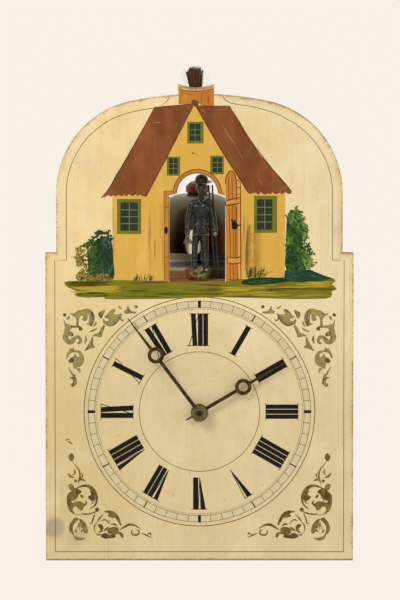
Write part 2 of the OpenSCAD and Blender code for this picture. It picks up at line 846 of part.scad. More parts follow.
// Bent strip over the escape wheel, its ends are the pallets
module anchor() color(steel) hang() at_height(escape_z) slab(escape_y + 1.5, anchor_t) difference() {
  inner_r = escape_r + anchor_gap;
  outer_r = inner_r + 2.6;
  half_span = 41;
  reach = 2 * outer_r;
  union() {
    intersection() {
      ring_2d(outer_r, inner_r);
      polygon([[0, 0], reach * [-sin(half_span), cos(half_span)], [0, 2 * reach],
               reach * [sin(half_span), cos(half_span)]]);
    }
    intersection() {
      translate([0, anchor_reach]) circle(3.6);
      box_2d(20, inner_r, anchor_reach + 10);
    }
  }
  translate([0, anchor_reach]) circle(arbor_r);
}

module crutch() color(iron) hang() at_height(anchor_z) {
  prong_x = pendulum_rod_r + crutch_play;
  prong_len = pendulum_y + pendulum_rod_r + 2 - crutch_y;
  difference() {
    union() {
      bar_y(3, crutch_y + crutch_t, crutch_t);
      translate([-crutch_bar / 2, crutch_y, -crutch_len]) cube([crutch_bar, crutch_bar, crutch_len]);
    }
    bar_y(pivot_r, crutch_y + crutch_t + 1, crutch_t + 2);
  }
  translate([-prong_x - crutch_bar, crutch_y, -crutch_len])
    cube([2 * (prong_x + crutch_bar), crutch_bar, crutch_bar]);
  for (x = [-prong_x - crutch_bar, prong_x])
    translate([x, crutch_y, -crutch_len]) cube([crutch_bar, prong_len, crutch_bar]);
}

// Iron bracket on the back board, its pin carries the pendulum on the anchor's line
module pendulum_cock() color(iron) hang() {
  arm_z = anchor_z + eye_r + 3;
  leg_y = pendulum_y + eye_t / 2 + 3;
  foot_h = hanger_low - arm_z - 0.5;
  translate([-7, y_back, arm_z]) cube([14, cock_t, foot_h]);
  translate([-4, y_back, arm_z]) cube([8, leg_y + cock_t - y_back, cock_t]);
  translate([-4, leg_y, anchor_z - 3]) cube([8, cock_t, arm_z - anchor_z + 3 + cock_t]);
  bar_y(cock_pin_r, leg_y + cock_t / 2, leg_y + cock_t / 2 - pendulum_y + eye_t / 2 + 1.5, 0, anchor_z);
}

module pendulum_rod() color(steel) hang() translate([0, pendulum_y, anchor_z]) {
  rod_len = pendulum_len + bob_r + rating_nut_h + rod_below;
  difference() {
    union() {
      bar_y(eye_r, eye_t / 2, eye_t);
      translate([0, 0, -rod_len]) cylinder(r = pendulum_rod_r, h = rod_len - cock_pin_r);
    }
    bar_y(cock_pin_r + run_gap, eye_t, 2 * eye_t);
  }
}

// Domed face of the bob, from its rim to its middle
bob_dome = [
  for (i = [0 : bob_steps]) let (a = asin(bob_r / bob_dome_r) * (1 - i / bob_steps))
    [bob_dome_r * sin(a), bob_dome_r * cos(a) - bob_dome_r + bob_t]
];

// Domed brass disc with a tube on its back, which slides on the rod
module pendulum_bob() color(brass) hang() translate([0, pendulum_y, anchor_z - pendulum_len]) difference() {
  union() {
    translate([0, -bob_back, 0]) rotate([90, 0, 0])
      rotate_extrude() polygon(concat([[0, 0], [bob_r, 0]], bob_dome));
    translate([0, 0, -bob_r]) cylinder(r = bob_tube_r, h = 2 * bob_r);
  }
  translate([0, 0, -bob_r - 1]) cylinder(r = pendulum_rod_r, h = 2 * bob_r + 2);
}

module rating_nut() color(brass) hang()
  translate([0, pendulum_y, anchor_z - pendulum_len - bob_r - rating_nut_h]) difference() {
    cylinder(r = rating_nut_r, h = rating_nut_h);
    translate([0, 0, -1]) cylinder(r = pendulum_rod_r, h = rating_nut_h + 2);
  }

// Motion work and hands

module drive_wheel() color(brass) hang() at_height(great_z)
  slab(drive_y, wheel_t) wheel_2d(drive_n, drive_m, 270, great_pivot_r + run_gap, 4);

module hand_stud() color(steel) hang()
  bar_y(stud_r, y_front0 - 1, y_front0 - 1 - minute_hand_y + hand_t + nut_t, 0, dial_z);

// Pipe with the minute wheel and the lantern that turns the reversing wheel
module minute_pipe() color(brass) hang() at_height(dial_z) {
  half_pitch = 180 / drive_n;
  slab(drive_y, drive_y - minute_hand_y + hand_t + nut_t) ring_2d(minute_pipe_r, stud_r + run_gap);
  slab(drive_y, wheel_t) disc_wheel_2d(drive_n, drive_m, 90 + half_pitch, minute_pipe_r - pipe_wall / 2);
  lantern(motion_lantern_n, minute_m, minute_lantern_y, minute_lantern_len, 270, minute_pipe_r - pipe_wall / 2);
}

module minute_hand() color("#5a4420") hang()
  hand(minute_hand_y, minute_len, minute_ring_at, minute_pipe_r, 0, minute_deg);

module hand_nut() color("#6a5226") hang() at_height(dial_z) slab(minute_hand_y - hand_t, nut_t) difference() {
  circle(nut_r, $fn = 6);
  circle(minute_pipe_r);
}

module motion_stud() color(steel) hang()
  bar_y(reverse_stud_r, y_front0 - 1, y_front0 - 1 - y_shield - 0.6, 0, reverse_z);

// Tube with the reversing wheel and the lantern that turns the hour wheel
module reversing_wheel() color(brass) hang() at_height(reverse_z) {
  lantern_rear = reverse_y - wheel_t;
  lantern_len = lantern_rear - y_shield - 1.2;
  slab(drive_y, drive_y - lantern_rear + lantern_len) ring_2d(reverse_tube_r, reverse_stud_r + run_gap);
  slab(reverse_y, wheel_t) wheel_2d(reverse_n, minute_m, 90, reverse_tube_r - 0.4, 4.5, 4);
  lantern(motion_lantern_n, hour_m, lantern_rear, lantern_len, 90, reverse_tube_r - 0.4);
}

module hour_wheel() color(brass) hang() at_height(dial_z) {
  slab(hour_y, hour_y - hour_hand_y + hand_t) ring_2d(hour_pipe_r, minute_pipe_r + run_gap);
  slab(hour_y, wheel_t) wheel_2d(hour_n, hour_m, 270, hour_pipe_r - pipe_wall / 2, 7);
}

module hour_hand() color("#5a4420") hang()
  hand(hour_hand_y, hour_len, hour_ring_at, hour_pipe_r, hour_tail, hour_deg);

// Strike train

module strike_great_arbor() color(steel) hang() at_height(great_z)
  arbor(y_rear1, strike_gap, great_arbor_r, great_pivot_r);

module strike_great_wheel() color(brass) hang() at_height(great_z) {
  great_wheel(strike_great_y);
  for (k = [0 : lift_pin_n - 1]) {
    p = polar(lift_pin_at, (k + 0.5) * 360 / lift_pin_n);
    bar_y(lift_pin_r, strike_great_y - wheel_t / 2, lift_pin_len + wheel_t / 2, p[0], p[1]);
  }
}

module strike_sprocket() color(wood_old) hang() at_height(great_z) sprocket(strike_sprocket_y);
module strike_second_arbor() color(steel) hang() at_height(second_z)
  lantern_arbor(y_rear1, strike_gap, strike_great_y, great_m);
module strike_second_wheel() color(brass) hang() at_height(second_z)
  slab(strike_second_y, wheel_t) wheel_2d(second_n, second_m, 90, arbor_r);
module fly_arbor() color(steel) hang() at_height(escape_z)
  lantern_arbor(y_rear1, strike_gap, strike_second_y, second_m);

module fly_vane() color(steel) hang() at_height(escape_z) slab(fly_y, fly_len) rotate(20) difference() {
  union() {
    circle(arbor_r + 0.9);
    translate([-fly_half, -fly_t / 2]) square([2 * fly_half, fly_t]);
  }
  circle(arbor_r);
}

// Sweep in the doorway

module rock_base() color("#5b5a3a") hang() translate([figure_x, figure_y, door_z + rock_gap]) {
  rotate_extrude() polygon([[0, 0], [rock_r, 0], [rock_r, 3], [rock_r * 0.86, 7], [rock_r * 0.8, 11],
                            [rock_r * 0.62, rock_h], [0, rock_h]]);
  translate([0, 0, -rock_gap - rock_pin_len]) cylinder(r = rock_pin_r, h = rock_pin_len + rock_gap + 1);
}

// Wire crank in the rock's foot, which the strike work pulls to turn the sweep
module turning_wire() color(steel) hang() translate([figure_x, figure_y, door_z + rock_gap + 2]) {
  translate([rock_r - 0.01, 0, 0]) rotate([0, 90, 0]) cylinder(r = wire_r, h = wire_reach - rock_r);
  translate([wire_reach, 0, -wire_r]) cylinder(r = wire_r, h = 5);
}

module limb(a, b, ra, rb) hull() {
  translate(a) sphere(ra, $fn = 14);
  translate(b) sphere(rb, $fn = 14);
}

// Standing sweep in a brimmed hat, a scraper in one hand, drawn 80 high
module sweep_shape() {
  for (side = [-1, 1]) {
    limb([side * 3.6, -2.5, 1.4], [side * 3.4, 1, 1.6], 1.8, 2);
    limb([side * 3.4, 0.4, 3], [side * 3, 0, 17], 2.1, 2.6);
    limb([side * 3, 0, 17], [side * 2.4, 0, 31], 2.6, 3.4);
    limb([side * 6.2, 0, 53], [side * 8.6, -1.5, 42], 2.7, 2.2);
    limb([side * 8.6, -1.5, 42], [side * 8.2, -5, 33], 2.2, 1.7);
  }
  hull() {
    translate([0, 0, 27]) scale([1.5, 1, 1]) cylinder(r = 4.4, h = 1, $fn = 20);
    translate([0, 0, 40]) scale([1.45, 1, 1]) cylinder(r = 3.8, h = 1, $fn = 20);
  }
  hull() {
    translate([0, 0, 40]) scale([1.45, 1, 1]) cylinder(r = 3.8, h = 1, $fn = 20);
    translate([0, 0, 53]) scale([1.7, 1, 0.6]) sphere(4, $fn = 20);
  }
  limb([0, 0, 54], [0, -0.4, 60], 2.2, 2.2);
  hull() {
    translate([0, -0.5, 65]) sphere(4.1, $fn = 20);
    translate([0, -0.8, 61.2]) sphere(2.8, $fn = 20);
  }
  translate([0, -0.2, 67.5]) rotate([-6, 0, 0]) {
    cylinder(r = 8.6, h = 1, $fn = 32);
    cylinder(r1 = 5, r2 = 4.2, h = 10.5, $fn = 32);
  }
  hull() {
    translate([-8.2, -5, 33]) sphere(1.4, $fn = 12);
    translate([-10, -6, 27.5]) cube([6, 1.2, 1], center = true);
  }
}

// The boots are cut flat where they stand on the rock
module sweep_figure() color("#2c3026") hang()
  translate([figure_x, figure_y, door_z + rock_gap + rock_h]) scale(figure_h / figure_drawn) difference() {
    sweep_shape();
    translate([-20, -20, -10]) cube([40, 40, 10]);
  }

// Ladder carried at the sweep's left side
module sweep_ladder() color("#3a2f22") hang()
  translate([figure_x + ladder_x, figure_y, door_z + ladder_foot_z])
  rotate([0, -ladder_lean, 0]) rotate(ladder_turn) {
    for (side = [-1, 1]) translate([0, side * ladder_gap / 2, 0]) cylinder(r = ladder_rail_r, h = ladder_len);
    for (k = [1 : ladder_rungs])
      translate([0, ladder_gap / 2, k * ladder_len / (ladder_rungs + 1)]) rotate([90, 0, 0])
        cylinder(r = ladder_rung_r, h = ladder_gap);
  }

// Brush in the chimney

module brush_guide() color(wood_raw) hang() difference() {
  translate([chimney_x - guide_w / 2, y_shield, guide_top - guide_h]) cube([guide_w, 2 * brush_inset, guide_h]);
  translate([chimney_x, brush_y, guide_top - guide_h - 1]) cylinder(r = brush_rod_r + run_gap, h = guide_h + 2);
}

// Wire with a cup for the tuft, which rests on the guide, and a foot that the lifting wire pushes
module brush_rod() color(steel) hang() translate([chimney_x, brush_y, guide_top]) {
  foot_z = guide_h + rod_below_guide;
  translate([0, 0, -foot_z]) cylinder(r = brush_rod_r, h = foot_z + 2);
  translate([0, 0, -foot_z]) cylinder(r = brush_rod_r + 2, h = 2);
  cylinder(r = tuft_r + 0.5, h = ferrule_h);
}

// One strand: a three sided spike from the slice to its tip
function strand_foot(i) = polar((tuft_r - 0.35) * sqrt((i + 0.5) / tuft_n), i * 137.508);
function strand_tip(i) = let (p = strand_foot(i)) [
  p[0] * tuft_spread - tuft_lean, p[1] * tuft_spread,
  tuft_h * (1 - 0.012 * (p[0] * p[0] + p[1] * p[1]) / 2 - 0.09 * ((i * 7) % 10) / 10)
];

module chimney_brush() color("#2a1a12") hang() translate([chimney_x, brush_y, tuft_base]) {
  points = [for (i = [0 : tuft_n - 1]) let (p = strand_foot(i)) each concat(
    [for (k = [0 : 2]) [p[0] + strand_r * cos(120 * k), p[1] + strand_r * sin(120 * k), tuft_slice / 2]],
    [strand_tip(i)])];
  faces = [for (i = [0 : tuft_n - 1]) let (b = 4 * i) each [
    [b, b + 1, b + 2], [b + 1, b, b + 3], [b + 2, b + 1, b + 3], [b, b + 2, b + 3]
  ]];
  polyhedron(points, faces);
  cylinder(r = tuft_r, h = tuft_slice, $fn = 24);
}

shield_board();
shield_battens();
batten_screws();
top_board();
bottom_board();
front_plate();
middle_plate();
rear_plate();
back_board();
hanger_plate();
hanger_screws();
wall_pegs();
pivot_bushes();
left_door();
right_door();
left_door_knob();
right_door_knob();
bell();
bell_post();
bell_knob();
hammer_arbor();
hammer();
going_great_arbor();
going_great_wheel();
going_sprocket();
second_arbor();
second_wheel();
escape_arbor();
escape_wheel();
anchor_arbor();
anchor();
crutch();
pendulum_cock();
pendulum_rod();
pendulum_bob();
rating_nut();
drive_wheel();
hand_stud();
minute_pipe();
minute_hand();
hand_nut();
reversing_wheel();
motion_stud();
hour_wheel();
hour_hand();
strike_great_arbor();
strike_great_wheel();
strike_sprocket();
strike_second_arbor();
strike_second_wheel();
fly_arbor();
fly_vane();
rock_base();
turning_wire();
sweep_figure();
sweep_ladder();
brush_guide();
brush_rod();
chimney_brush();
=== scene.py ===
import math
import random

import bmesh
import bpy
from mathutils import Matrix, Vector
from mathutils import noise as space_noise


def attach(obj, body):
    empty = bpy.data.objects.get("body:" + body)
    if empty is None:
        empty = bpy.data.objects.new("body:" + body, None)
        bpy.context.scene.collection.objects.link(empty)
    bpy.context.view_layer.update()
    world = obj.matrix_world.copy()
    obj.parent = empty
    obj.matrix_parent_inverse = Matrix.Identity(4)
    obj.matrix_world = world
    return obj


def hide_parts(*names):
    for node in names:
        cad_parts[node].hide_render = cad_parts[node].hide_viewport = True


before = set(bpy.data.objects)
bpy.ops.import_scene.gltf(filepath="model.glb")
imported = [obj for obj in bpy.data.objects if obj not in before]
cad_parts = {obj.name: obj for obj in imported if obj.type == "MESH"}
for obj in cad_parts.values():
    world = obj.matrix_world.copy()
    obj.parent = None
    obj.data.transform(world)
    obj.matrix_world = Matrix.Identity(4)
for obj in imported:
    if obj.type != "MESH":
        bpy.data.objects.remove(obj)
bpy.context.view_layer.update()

# Studio: a pale floor well below the hanging clock, a broad soft light high on the left, a weaker one on
# the right and a far camera a little above the dial. The floor and the sky are white to the camera and to
# shiny metal only, so the light on the clock stays plain.
MM = 0.001
FOOT = -285 * MM
FACE = -133 * MM
scene = bpy.context.scene
scene.view_settings.view_transform = "Standard"


class Tint:
    """One socket of a node tree. Sums and products of tints, and of tints and numbers, add Math nodes."""

    def __init__(self, socket):
        self.socket = socket

    def node(self, kind, sockets, settings=None, out=0):
        """Adds a node of a kind, sets its settings, then its sockets by name or number."""
        made = self.socket.id_data.nodes.new("ShaderNode" + kind)
        for key, value in (settings or {}).items():
            setattr(made, key, value)
        for key, value in sockets.items():
            feed(made.inputs[key], value)
        return Tint(made.outputs[out])

    def math(self, operation, first, second):
        """Adds a Math node."""
        return self.node("Math", {0: first, 1: second}, {"operation": operation})

    def __add__(self, other):
        return self.math("ADD", self, other)

    __radd__ = __add__

    def __sub__(self, other):
        return self.math("SUBTRACT", self, other)

    def __rsub__(self, other):
        return self.math("SUBTRACT", other, self)

    def __mul__(self, other):
        return self.math("MULTIPLY", self, other)

    __rmul__ = __mul__

    def __abs__(self):
        return self.math("ABSOLUTE", self, 0)


def feed(socket, value):
    """Links a tint to a socket, or sets the socket to a plain value."""
    if isinstance(value, Tint):
        socket.id_data.links.new(value.socket, socket)
    else:
        socket.default_value = value


def ink(code):
    """Linear colour of a six digit colour code."""
    parts = [int(code[i:i + 2], 16) / 255 for i in (0, 2, 4)]
    return tuple(p / 12.92 if p < 0.04045 else ((p + 0.055) / 1.055) ** 2.4 for p in parts) + (1.0,)


def mix(share, first, second):
    """Colour between two colours, by a share from 0 to 1."""
    return share.node("Mix", {0: share, 6: first, 7: second}, {"data_type": "RGBA"}, 2)


def seen_white(tree):
    """One where a camera, mirror or glass ray looks, zero for the rays that carry light."""
    path = tree.nodes.new("ShaderNodeLightPath")
    camera = Tint(path.outputs["Is Camera Ray"])
    glossy = Tint(path.outputs["Is Glossy Ray"])
    clear = Tint(path.outputs["Is Transmission Ray"])
    return camera.math("MINIMUM", camera + glossy + clear, 1.0)


world = bpy.data.worlds.new("studio")
scene.world = world
world.use_nodes = True
sky = world.node_tree.nodes["Background"]
look = seen_white(world.node_tree)
SKY_SEEN, SKY_LIGHT = 1.0, 0.52
feed(sky.inputs["Color"], mix(look, ink("f4f1ee"), ink("faf2e9")))
feed(sky.inputs["Strength"], look * (SKY_SEEN - SKY_LIGHT) + SKY_LIGHT)

bpy.ops.object.select_all(action="DESELECT")
FLOOR_SIZE, FLOOR_DROP, FLOOR_GLOW = 80, 0.25, 0.94
bpy.ops.mesh.primitive_grid_add(x_subdivisions=2, y_subdivisions=2, size=FLOOR_SIZE,
                                location=(0, 0, FOOT - FLOOR_DROP))
floor = bpy.context.active_object
floor.name = "floor"
bpy.ops.object.transform_apply(location=True)
floor_paint = bpy.data.materials.new("floor_paint")
floor_paint.use_nodes = True
tree = floor_paint.node_tree
shader = tree.nodes["Principled BSDF"]
shader.inputs["Base Color"].default_value = ink("e6e0d8")
shader.inputs["Roughness"].default_value = 0.9
look = seen_white(tree)
glow = tree.nodes.new("ShaderNodeEmission")
glow.inputs["Color"].default_value = ink("fcf4ea")
join = tree.nodes.new("ShaderNodeMixShader")
feed(join.inputs[0], look * FLOOR_GLOW)
tree.links.new(shader.outputs[0], join.inputs[1])
tree.links.new(glow.outputs[0], join.inputs[2])
tree.links.new(join.outputs[0], tree.nodes["Material Output"].inputs["Surface"])
floor.data.materials.append(floor_paint)


def lamp(name, place, aim, size, power, colour):
    """Square soft light that looks at a point."""
    light = bpy.data.lights.new(name, "AREA")
    light.size, light.energy, light.color = size, power, ink(colour)[:3]
    held = bpy.data.objects.new(name, light)
    scene.collection.objects.link(held)
    held.location = place
    held.rotation_euler = (Vector(aim) - Vector(place)).to_track_quat("-Z", "Y").to_euler()


CLOCK_MIDDLE = (0, -0.13, -0.05)
lamp("key_light", (-1.1, -1.7, 1.3), CLOCK_MIDDLE, 0.9, 24, "fff6ea")
lamp("fill_light", (1.6, -1.5, 0.5), CLOCK_MIDDLE, 1.2, 8, "fffaf4")

SENSOR, REACH, VIEW_HEIGHT, TILT = 24, 6.0, 0.5452, math.radians(6)
AIM_X, AIM_Z = 0.5, 239
camera_data = bpy.data.cameras.new("camera")
camera_data.sensor_fit = "VERTICAL"
camera_data.sensor_height = SENSOR
camera = bpy.data.objects.new("camera", camera_data)
scene.collection.objects.link(camera)
scene.camera = camera
sight = Vector((AIM_X * MM, FACE, FOOT + AIM_Z * MM))
camera_data.lens = SENSOR * REACH / VIEW_HEIGHT
camera_data.clip_end = 200
camera.location = sight + REACH * Vector((0, -math.cos(TILT), math.sin(TILT)))
camera.rotation_euler = (math.pi / 2 - TILT, 0, 0)

# Boards of the movement: planed softwood gone brown, sawn to size, glued and pegged into an open box. The
# edges are eased by hand. Battens on the shield and the guide of the brush are of the same wood.


def lay(sockets, **values):
    """Feeds sockets of a shader. A name has _ for a space."""
    for key, value in values.items():
        feed(sockets[key.replace("_", " ")], value)


def finish(name, **fixed):
    """New material, its shader's sockets and the object coordinates. Fixed values go on the sockets."""
    made = bpy.data.materials.new(name)
    made.use_nodes = True
    sockets = made.node_tree.nodes["Principled BSDF"].inputs
    lay(sockets, **fixed)
    place = Tint(made.node_tree.nodes.new("ShaderNodeTexCoord").outputs["Object"])
    return made, sockets, place


def axes(place):
    """The three coordinates of a place."""
    return [Tint(out) for out in place.node("SeparateXYZ", {0: place}).socket.node.outputs]


def noise(place, scale, stretch=(1, 1, 1), detail=4.0, rough=0.55, turn=(0, 0, 0), warp=0.0):
    """Cloudy pattern from 0 to 1, drawn out along the axes with a small stretch."""
    moved = place.node("Mapping", {"Vector": place, "Scale": stretch, "Rotation": turn})
    return moved.node("TexNoise", {"Vector": moved, "Scale": scale, "Detail": detail, "Roughness": rough,
                                   "Distortion": warp})


def step(value, low, high, first=0.0, last=1.0):
    """Soft step of a value between two limits."""
    return value.node("MapRange", {"Value": value, "From Min": low, "From Max": high, "To Min": first,
                                   "To Max": last}, {"interpolation_type": "SMOOTHSTEP"})


def coats(colour, *layers):
    """Colour with others over it, each given as a share and a colour code."""
    for share, code in layers:
        colour = mix(share, colour, ink(code))
    return colour


def bump(height, strength, depth):
    """Normal from a height."""
    return height.node("Bump", {"Height": height, "Strength": strength, "Distance": depth})


def wood(name, dark, mid, light, along, rough=0.62):
    """Planed wood with its grain along one axis, pores, a few dark year lines and worn dirt."""
    made, sockets, place = finish(name, Specular_IOR_Level=0.35)
    stretch = [1.0, 1.0, 1.0]
    stretch[along] = 0.06
    rings = noise(place, 95, stretch, 3.0, 0.5, warp=0.6)
    pores = noise(place, 620, stretch, 2.0, 0.6)
    soil = noise(place, 24, detail=5.0, rough=0.65)
    lines = step(abs(rings - 0.5), 0.0, 0.05, 1.0, 0.0)
    colour = coats(mix(step(rings, 0.32, 0.68), ink(mid), ink(light)), (lines * 0.45, dark),
                   (step(pores, 0.56, 0.72) * 0.4, dark), (step(soil, 0.5, 0.78) * 0.55, dark))
    lay(sockets, Base_Color=colour, Roughness=rough + 0.2 * (soil - 0.5) + 0.12 * (pores - 0.5),
        Normal=bump(pores * 0.6 + rings * 0.4, 0.35, 0.0004))
    return made


def dress(made, *nodes):
    """Gives CAD nodes a material."""
    for node in nodes:
        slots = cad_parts[node].data.materials
        slots.clear()
        slots.append(made)


def eased(node, body, made, width=0.7 * MM):
    """Copy of a CAD node with its sharp edges rounded over, which stands for the node."""
    bpy.ops.object.select_all(action="DESELECT")
    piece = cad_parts[node].copy()
    piece.data = piece.data.copy()
    piece.name = piece.data.name = node + "_worked"
    for key in list(piece.keys()):
        del piece[key]
    piece.parent = None
    piece.matrix_world = Matrix.Identity(4)
    scene.collection.objects.link(piece)
    piece.select_set(True)
    bpy.context.view_layer.objects.active = piece
    bpy.ops.object.mode_set(mode="EDIT")
    bpy.ops.mesh.select_all(action="SELECT")
    bpy.ops.mesh.remove_doubles(threshold=1e-6)
    bpy.ops.mesh.dissolve_limited(angle_limit=math.radians(2))
    bpy.ops.mesh.normals_make_consistent(inside=False)
    bpy.ops.object.mode_set(mode="OBJECT")
    ease = piece.modifiers.new("ease", "BEVEL")
    ease.width, ease.segments, ease.limit_method, ease.angle_limit = width, 2, "ANGLE", math.radians(50)
    ease.use_clamp_overlap = True
    bpy.ops.object.modifier_apply(modifier="ease")
    bpy.ops.object.shade_smooth_by_angle(angle=math.radians(35))
    piece.data.materials.clear()
    piece.data.materials.append(made)
    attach(piece, body)
    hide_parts(node)
    return piece


softwood_x = wood("softwood_across", "4a2c14", "8a5f33", "a87a45", 0)
softwood_z = wood("softwood_upright", "4a2c14", "8a5f33", "a87a45", 2)
old_wood = wood("old_beech", "2a170a", "5f3c1e", "7a5230", 2)
for board in ("shield_battens", "bottom_board"):
    eased(board, "case", softwood_x)


DUST_LOW, DUST_REAR = -22.2 * MM, -4.5 * MM
SHADOW_LEFT, SHADOW_RIGHT, SHADOW_LOW = 0.0, 30 * MM, -36 * MM


def dusted(name, along, dark, light, dull, pale):
    """Board with pale dust above the level of the top board, partly painted light, and a painted shadow on
    the right, bare below and on the back.
    """
    made, sockets, place = finish(name, Specular_IOR_Level=0.3)
    across, depth, height = axes(place)
    grain = noise(place, 130, along, 5.0, 0.65)
    grit = noise(place, 800, detail=4.0, rough=0.65)
    bare = mix(step(grain + (grit - 0.5) * 0.6, 0.35, 0.7), ink(dark), ink(light))
    dust_and_light = mix(step(grain, 0.35, 0.7), ink(dull), ink(pale))
    dust_and_light = coats(dust_and_light, (step(grit, 0.6, 0.7) * 0.4, "aaa08c"))
    # Dust above the top board's level; its pale colour is partly painted light where the doorway shades the
    # boards.
    dust_and_light_area = step(height, DUST_LOW, DUST_LOW + 0.6 * MM) * step(depth, DUST_REAR, DUST_REAR + MM, 1.0, 0.0)
    # Painted shadow: dark brown on the boards to the right of the figure, where the bell shades them.
    painted_shadow = step(across + (grain - 0.5) * 0.01, SHADOW_LEFT, SHADOW_LEFT + 12 * MM)
    painted_shadow = painted_shadow * step(across, SHADOW_RIGHT, SHADOW_RIGHT + 15 * MM, 1.0, 0.0)
    painted_shadow = painted_shadow * step(height, SHADOW_LOW, SHADOW_LOW + 8 * MM)
    lay(sockets, Base_Color=coats(mix(dust_and_light_area, bare, dust_and_light), (painted_shadow * 0.93, "1e0f06")),
        Roughness=0.7 + 0.3 * (grit - 0.5), Normal=bump(grain + grit * 0.5, 0.4, 0.0004))
    return made


# The top board's wood and dust, and the back board's dust, are painted paler than they are, as painted light.
dusty_top = dusted("dusty_top", (0.1, 1, 1), "dcaa68", "ffe2b0", "f8eed8", "fffaf0")
dusty_back = dusted("dusty_back", (1, 1, 0.07), "4f3016", "9a6d3c", "c4b99e", "d9cfb6")
eased("top_board", "case", dusty_top)
eased("back_board", "case", dusty_back)
eased("brush_guide", "case", softwood_z)
for plate in ("front_plate", "middle_plate", "rear_plate"):
    eased(plate, "case", old_wood, 0.5 * MM)
eased("wall_pegs", "case", old_wood, 0.6 * MM)

# Side doors: one thin board on each side of the box, of the same softwood, hung on wooden pins, with a turned
# knob to pull.
eased("left_door", "left_leaf", softwood_z)
eased("right_door", "right_leaf", softwood_z)
knob_wood = wood("turned_knob_wood", "24130a", "4f2d16", "6b4122", 0, 0.42)
dress(knob_wood, "left_door_knob", "right_door_knob")

# Iron and steel: a forged hanger with its screws, iron wires and hammer, drawn steel arbors and studs. All
# have a dull cloudy skin with dirt in it.


def metal(name, dark, light, rough, grain_scale=160, dirt="1a120a", dirt_share=0.4, stretch=(1, 1, 1)):
    """Bare metal with a cloudy skin, fine tool marks and dirt."""
    made, sockets, place = finish(name, Metallic=1.0)
    cloud = noise(place, grain_scale, stretch, 5.0, 0.62)
    marks = noise(place, 1500, (1, 0.15, 1), 2.0, 0.5)
    soil = noise(place, 60, detail=6.0, rough=0.7)
    grime = step(soil, 0.52, 0.74) * dirt_share
    colour = mix(step(cloud, 0.35, 0.68), ink(dark), ink(light))
    lay(sockets, Base_Color=coats(colour, (grime, dirt)), Metallic=1.0 - 0.6 * grime,
        Roughness=rough + 0.25 * (cloud - 0.5) + 0.3 * grime, Normal=bump(marks * 0.5 + cloud, 0.25, 0.00015))
    return made


steel = metal("drawn_steel", "6a6660", "a09c94", 0.38)
iron = metal("forged_iron", "1c1a18", "3a3733", 0.55, 120, "3a2012", 0.6)
brass = metal("clock_brass", "7d5a20", "b98d3e", 0.34, 140, "2a1a08", 0.55)
dress(steel, "batten_screws", "hanger_screws", "hammer_arbor", "going_great_arbor", "second_arbor",
      "escape_arbor", "anchor_arbor", "anchor", "motion_stud", "strike_great_arbor", "strike_second_arbor",
      "fly_arbor", "fly_vane", "brush_rod")
dress(iron, "hanger_plate", "bell_post", "hammer", "crutch", "pendulum_cock", "turning_wire", "hand_stud")

# Trains: cast brass wheels with cut teeth, crossed out by file, and brass bushes pressed into the plates. The
# chain sprockets are turned from wood.
dress(brass, "pivot_bushes", "going_great_wheel", "second_wheel", "escape_wheel", "drive_wheel",
      "reversing_wheel", "hour_wheel", "strike_great_wheel", "strike_second_wheel")
dress(metal("pipe_brass", "3a2c12", "5c4a24", 0.5, 260, "1a1208", 0.5), "minute_pipe")
dress(wood("sprocket_wood", "2a170a", "6a4424", "8a5f36", 1), "going_sprocket", "strike_sprocket")

# Pendulum: an iron wire hung from its cock, with a domed sheet brass bob that slides on it and is held up by
# a small nut.
dress(metal("pendulum_wire", "4e4a44", "85807a", 0.42, dirt="3a2012"), "pendulum_rod")
dress(metal("bob_brass", "8a6526", "c79a48", 0.26, 90, "3a240c", 0.5), "pendulum_bob", "rating_nut")

# Shield: one wide softwood board, sawn to the arch with the chimney left standing and the doorway cut
# through. The front and the edges have a cream oil ground under yellowed varnish, the back is bare wood.


def arc(x, z, r, start, end, count):
    """Points of a circle, in millimetres from the middle of the shield's foot, angles from the right."""
    turns = [math.radians(start + (end - start) * i / count) for i in range(count + 1)]
    return [(x + r * math.cos(a), z + r * math.sin(a)) for a in turns]


SHOULDER, ARCH_MID, ARCH_SIDE = 281.5, 126.0, (45.0, 336.24)
ARCH_R, SIDE_R = 300, 85
arch_turn = math.degrees(math.atan2(ARCH_SIDE[1] - ARCH_MID, ARCH_SIDE[0]))


def arch_line(inset, left_end, right_end):
    """The arch from the right shoulder to the left one, or to where it meets two upright lines."""
    top_r = ARCH_R - inset
    right_turn, left_turn = (math.degrees(math.acos(x / top_r)) for x in (right_end, left_end))
    right = arc(*ARCH_SIDE, SIDE_R - inset, 0, arch_turn, 24)
    right += arc(0, ARCH_MID, top_r, arch_turn, right_turn, 10)[1:]
    left = arc(0, ARCH_MID, top_r, left_turn, 180 - arch_turn, 10)
    left += arc(-ARCH_SIDE[0], ARCH_SIDE[1], SIDE_R - inset, 180 - arch_turn, 180, 24)[1:]
    return right, left


DIAL = 136.8
HALF, NECK = 140, 130
STACK_LEFT, STACK_RIGHT, STACK_TOP, HOLLOW = -19.5, 13.5, 435, (-3, 475.94, 44.14)
right_arch, left_arch = arch_line(0, STACK_LEFT, STACK_RIGHT)
hollow_turn = math.degrees(math.asin((STACK_RIGHT - STACK_LEFT) / 2 / HOLLOW[2]))
stack_edge = [(STACK_RIGHT, STACK_TOP)] + arc(*HOLLOW, 270 + hollow_turn, 270 - hollow_turn, 12)[1:-1]
stack_edge.append((STACK_LEFT, STACK_TOP))
shield_edge = [(-HALF, 0), (HALF, 0), (HALF, SHOULDER), (NECK, SHOULDER)] + right_arch + stack_edge
shield_edge += left_arch + [(-NECK, SHOULDER), (-HALF, SHOULDER)]
door_x, door_z, door_half, door_top, head_r, head_z = -1.9, 255.5, 25.35, 334.0, 18.1, 336.0
door_edge = [(door_x - door_half, door_z), (door_x + door_half, door_z), (door_x + door_half, door_top)]
door_edge += arc(door_x, head_z, head_r, 0, 180, 32) + [(door_x - door_half, door_top)]


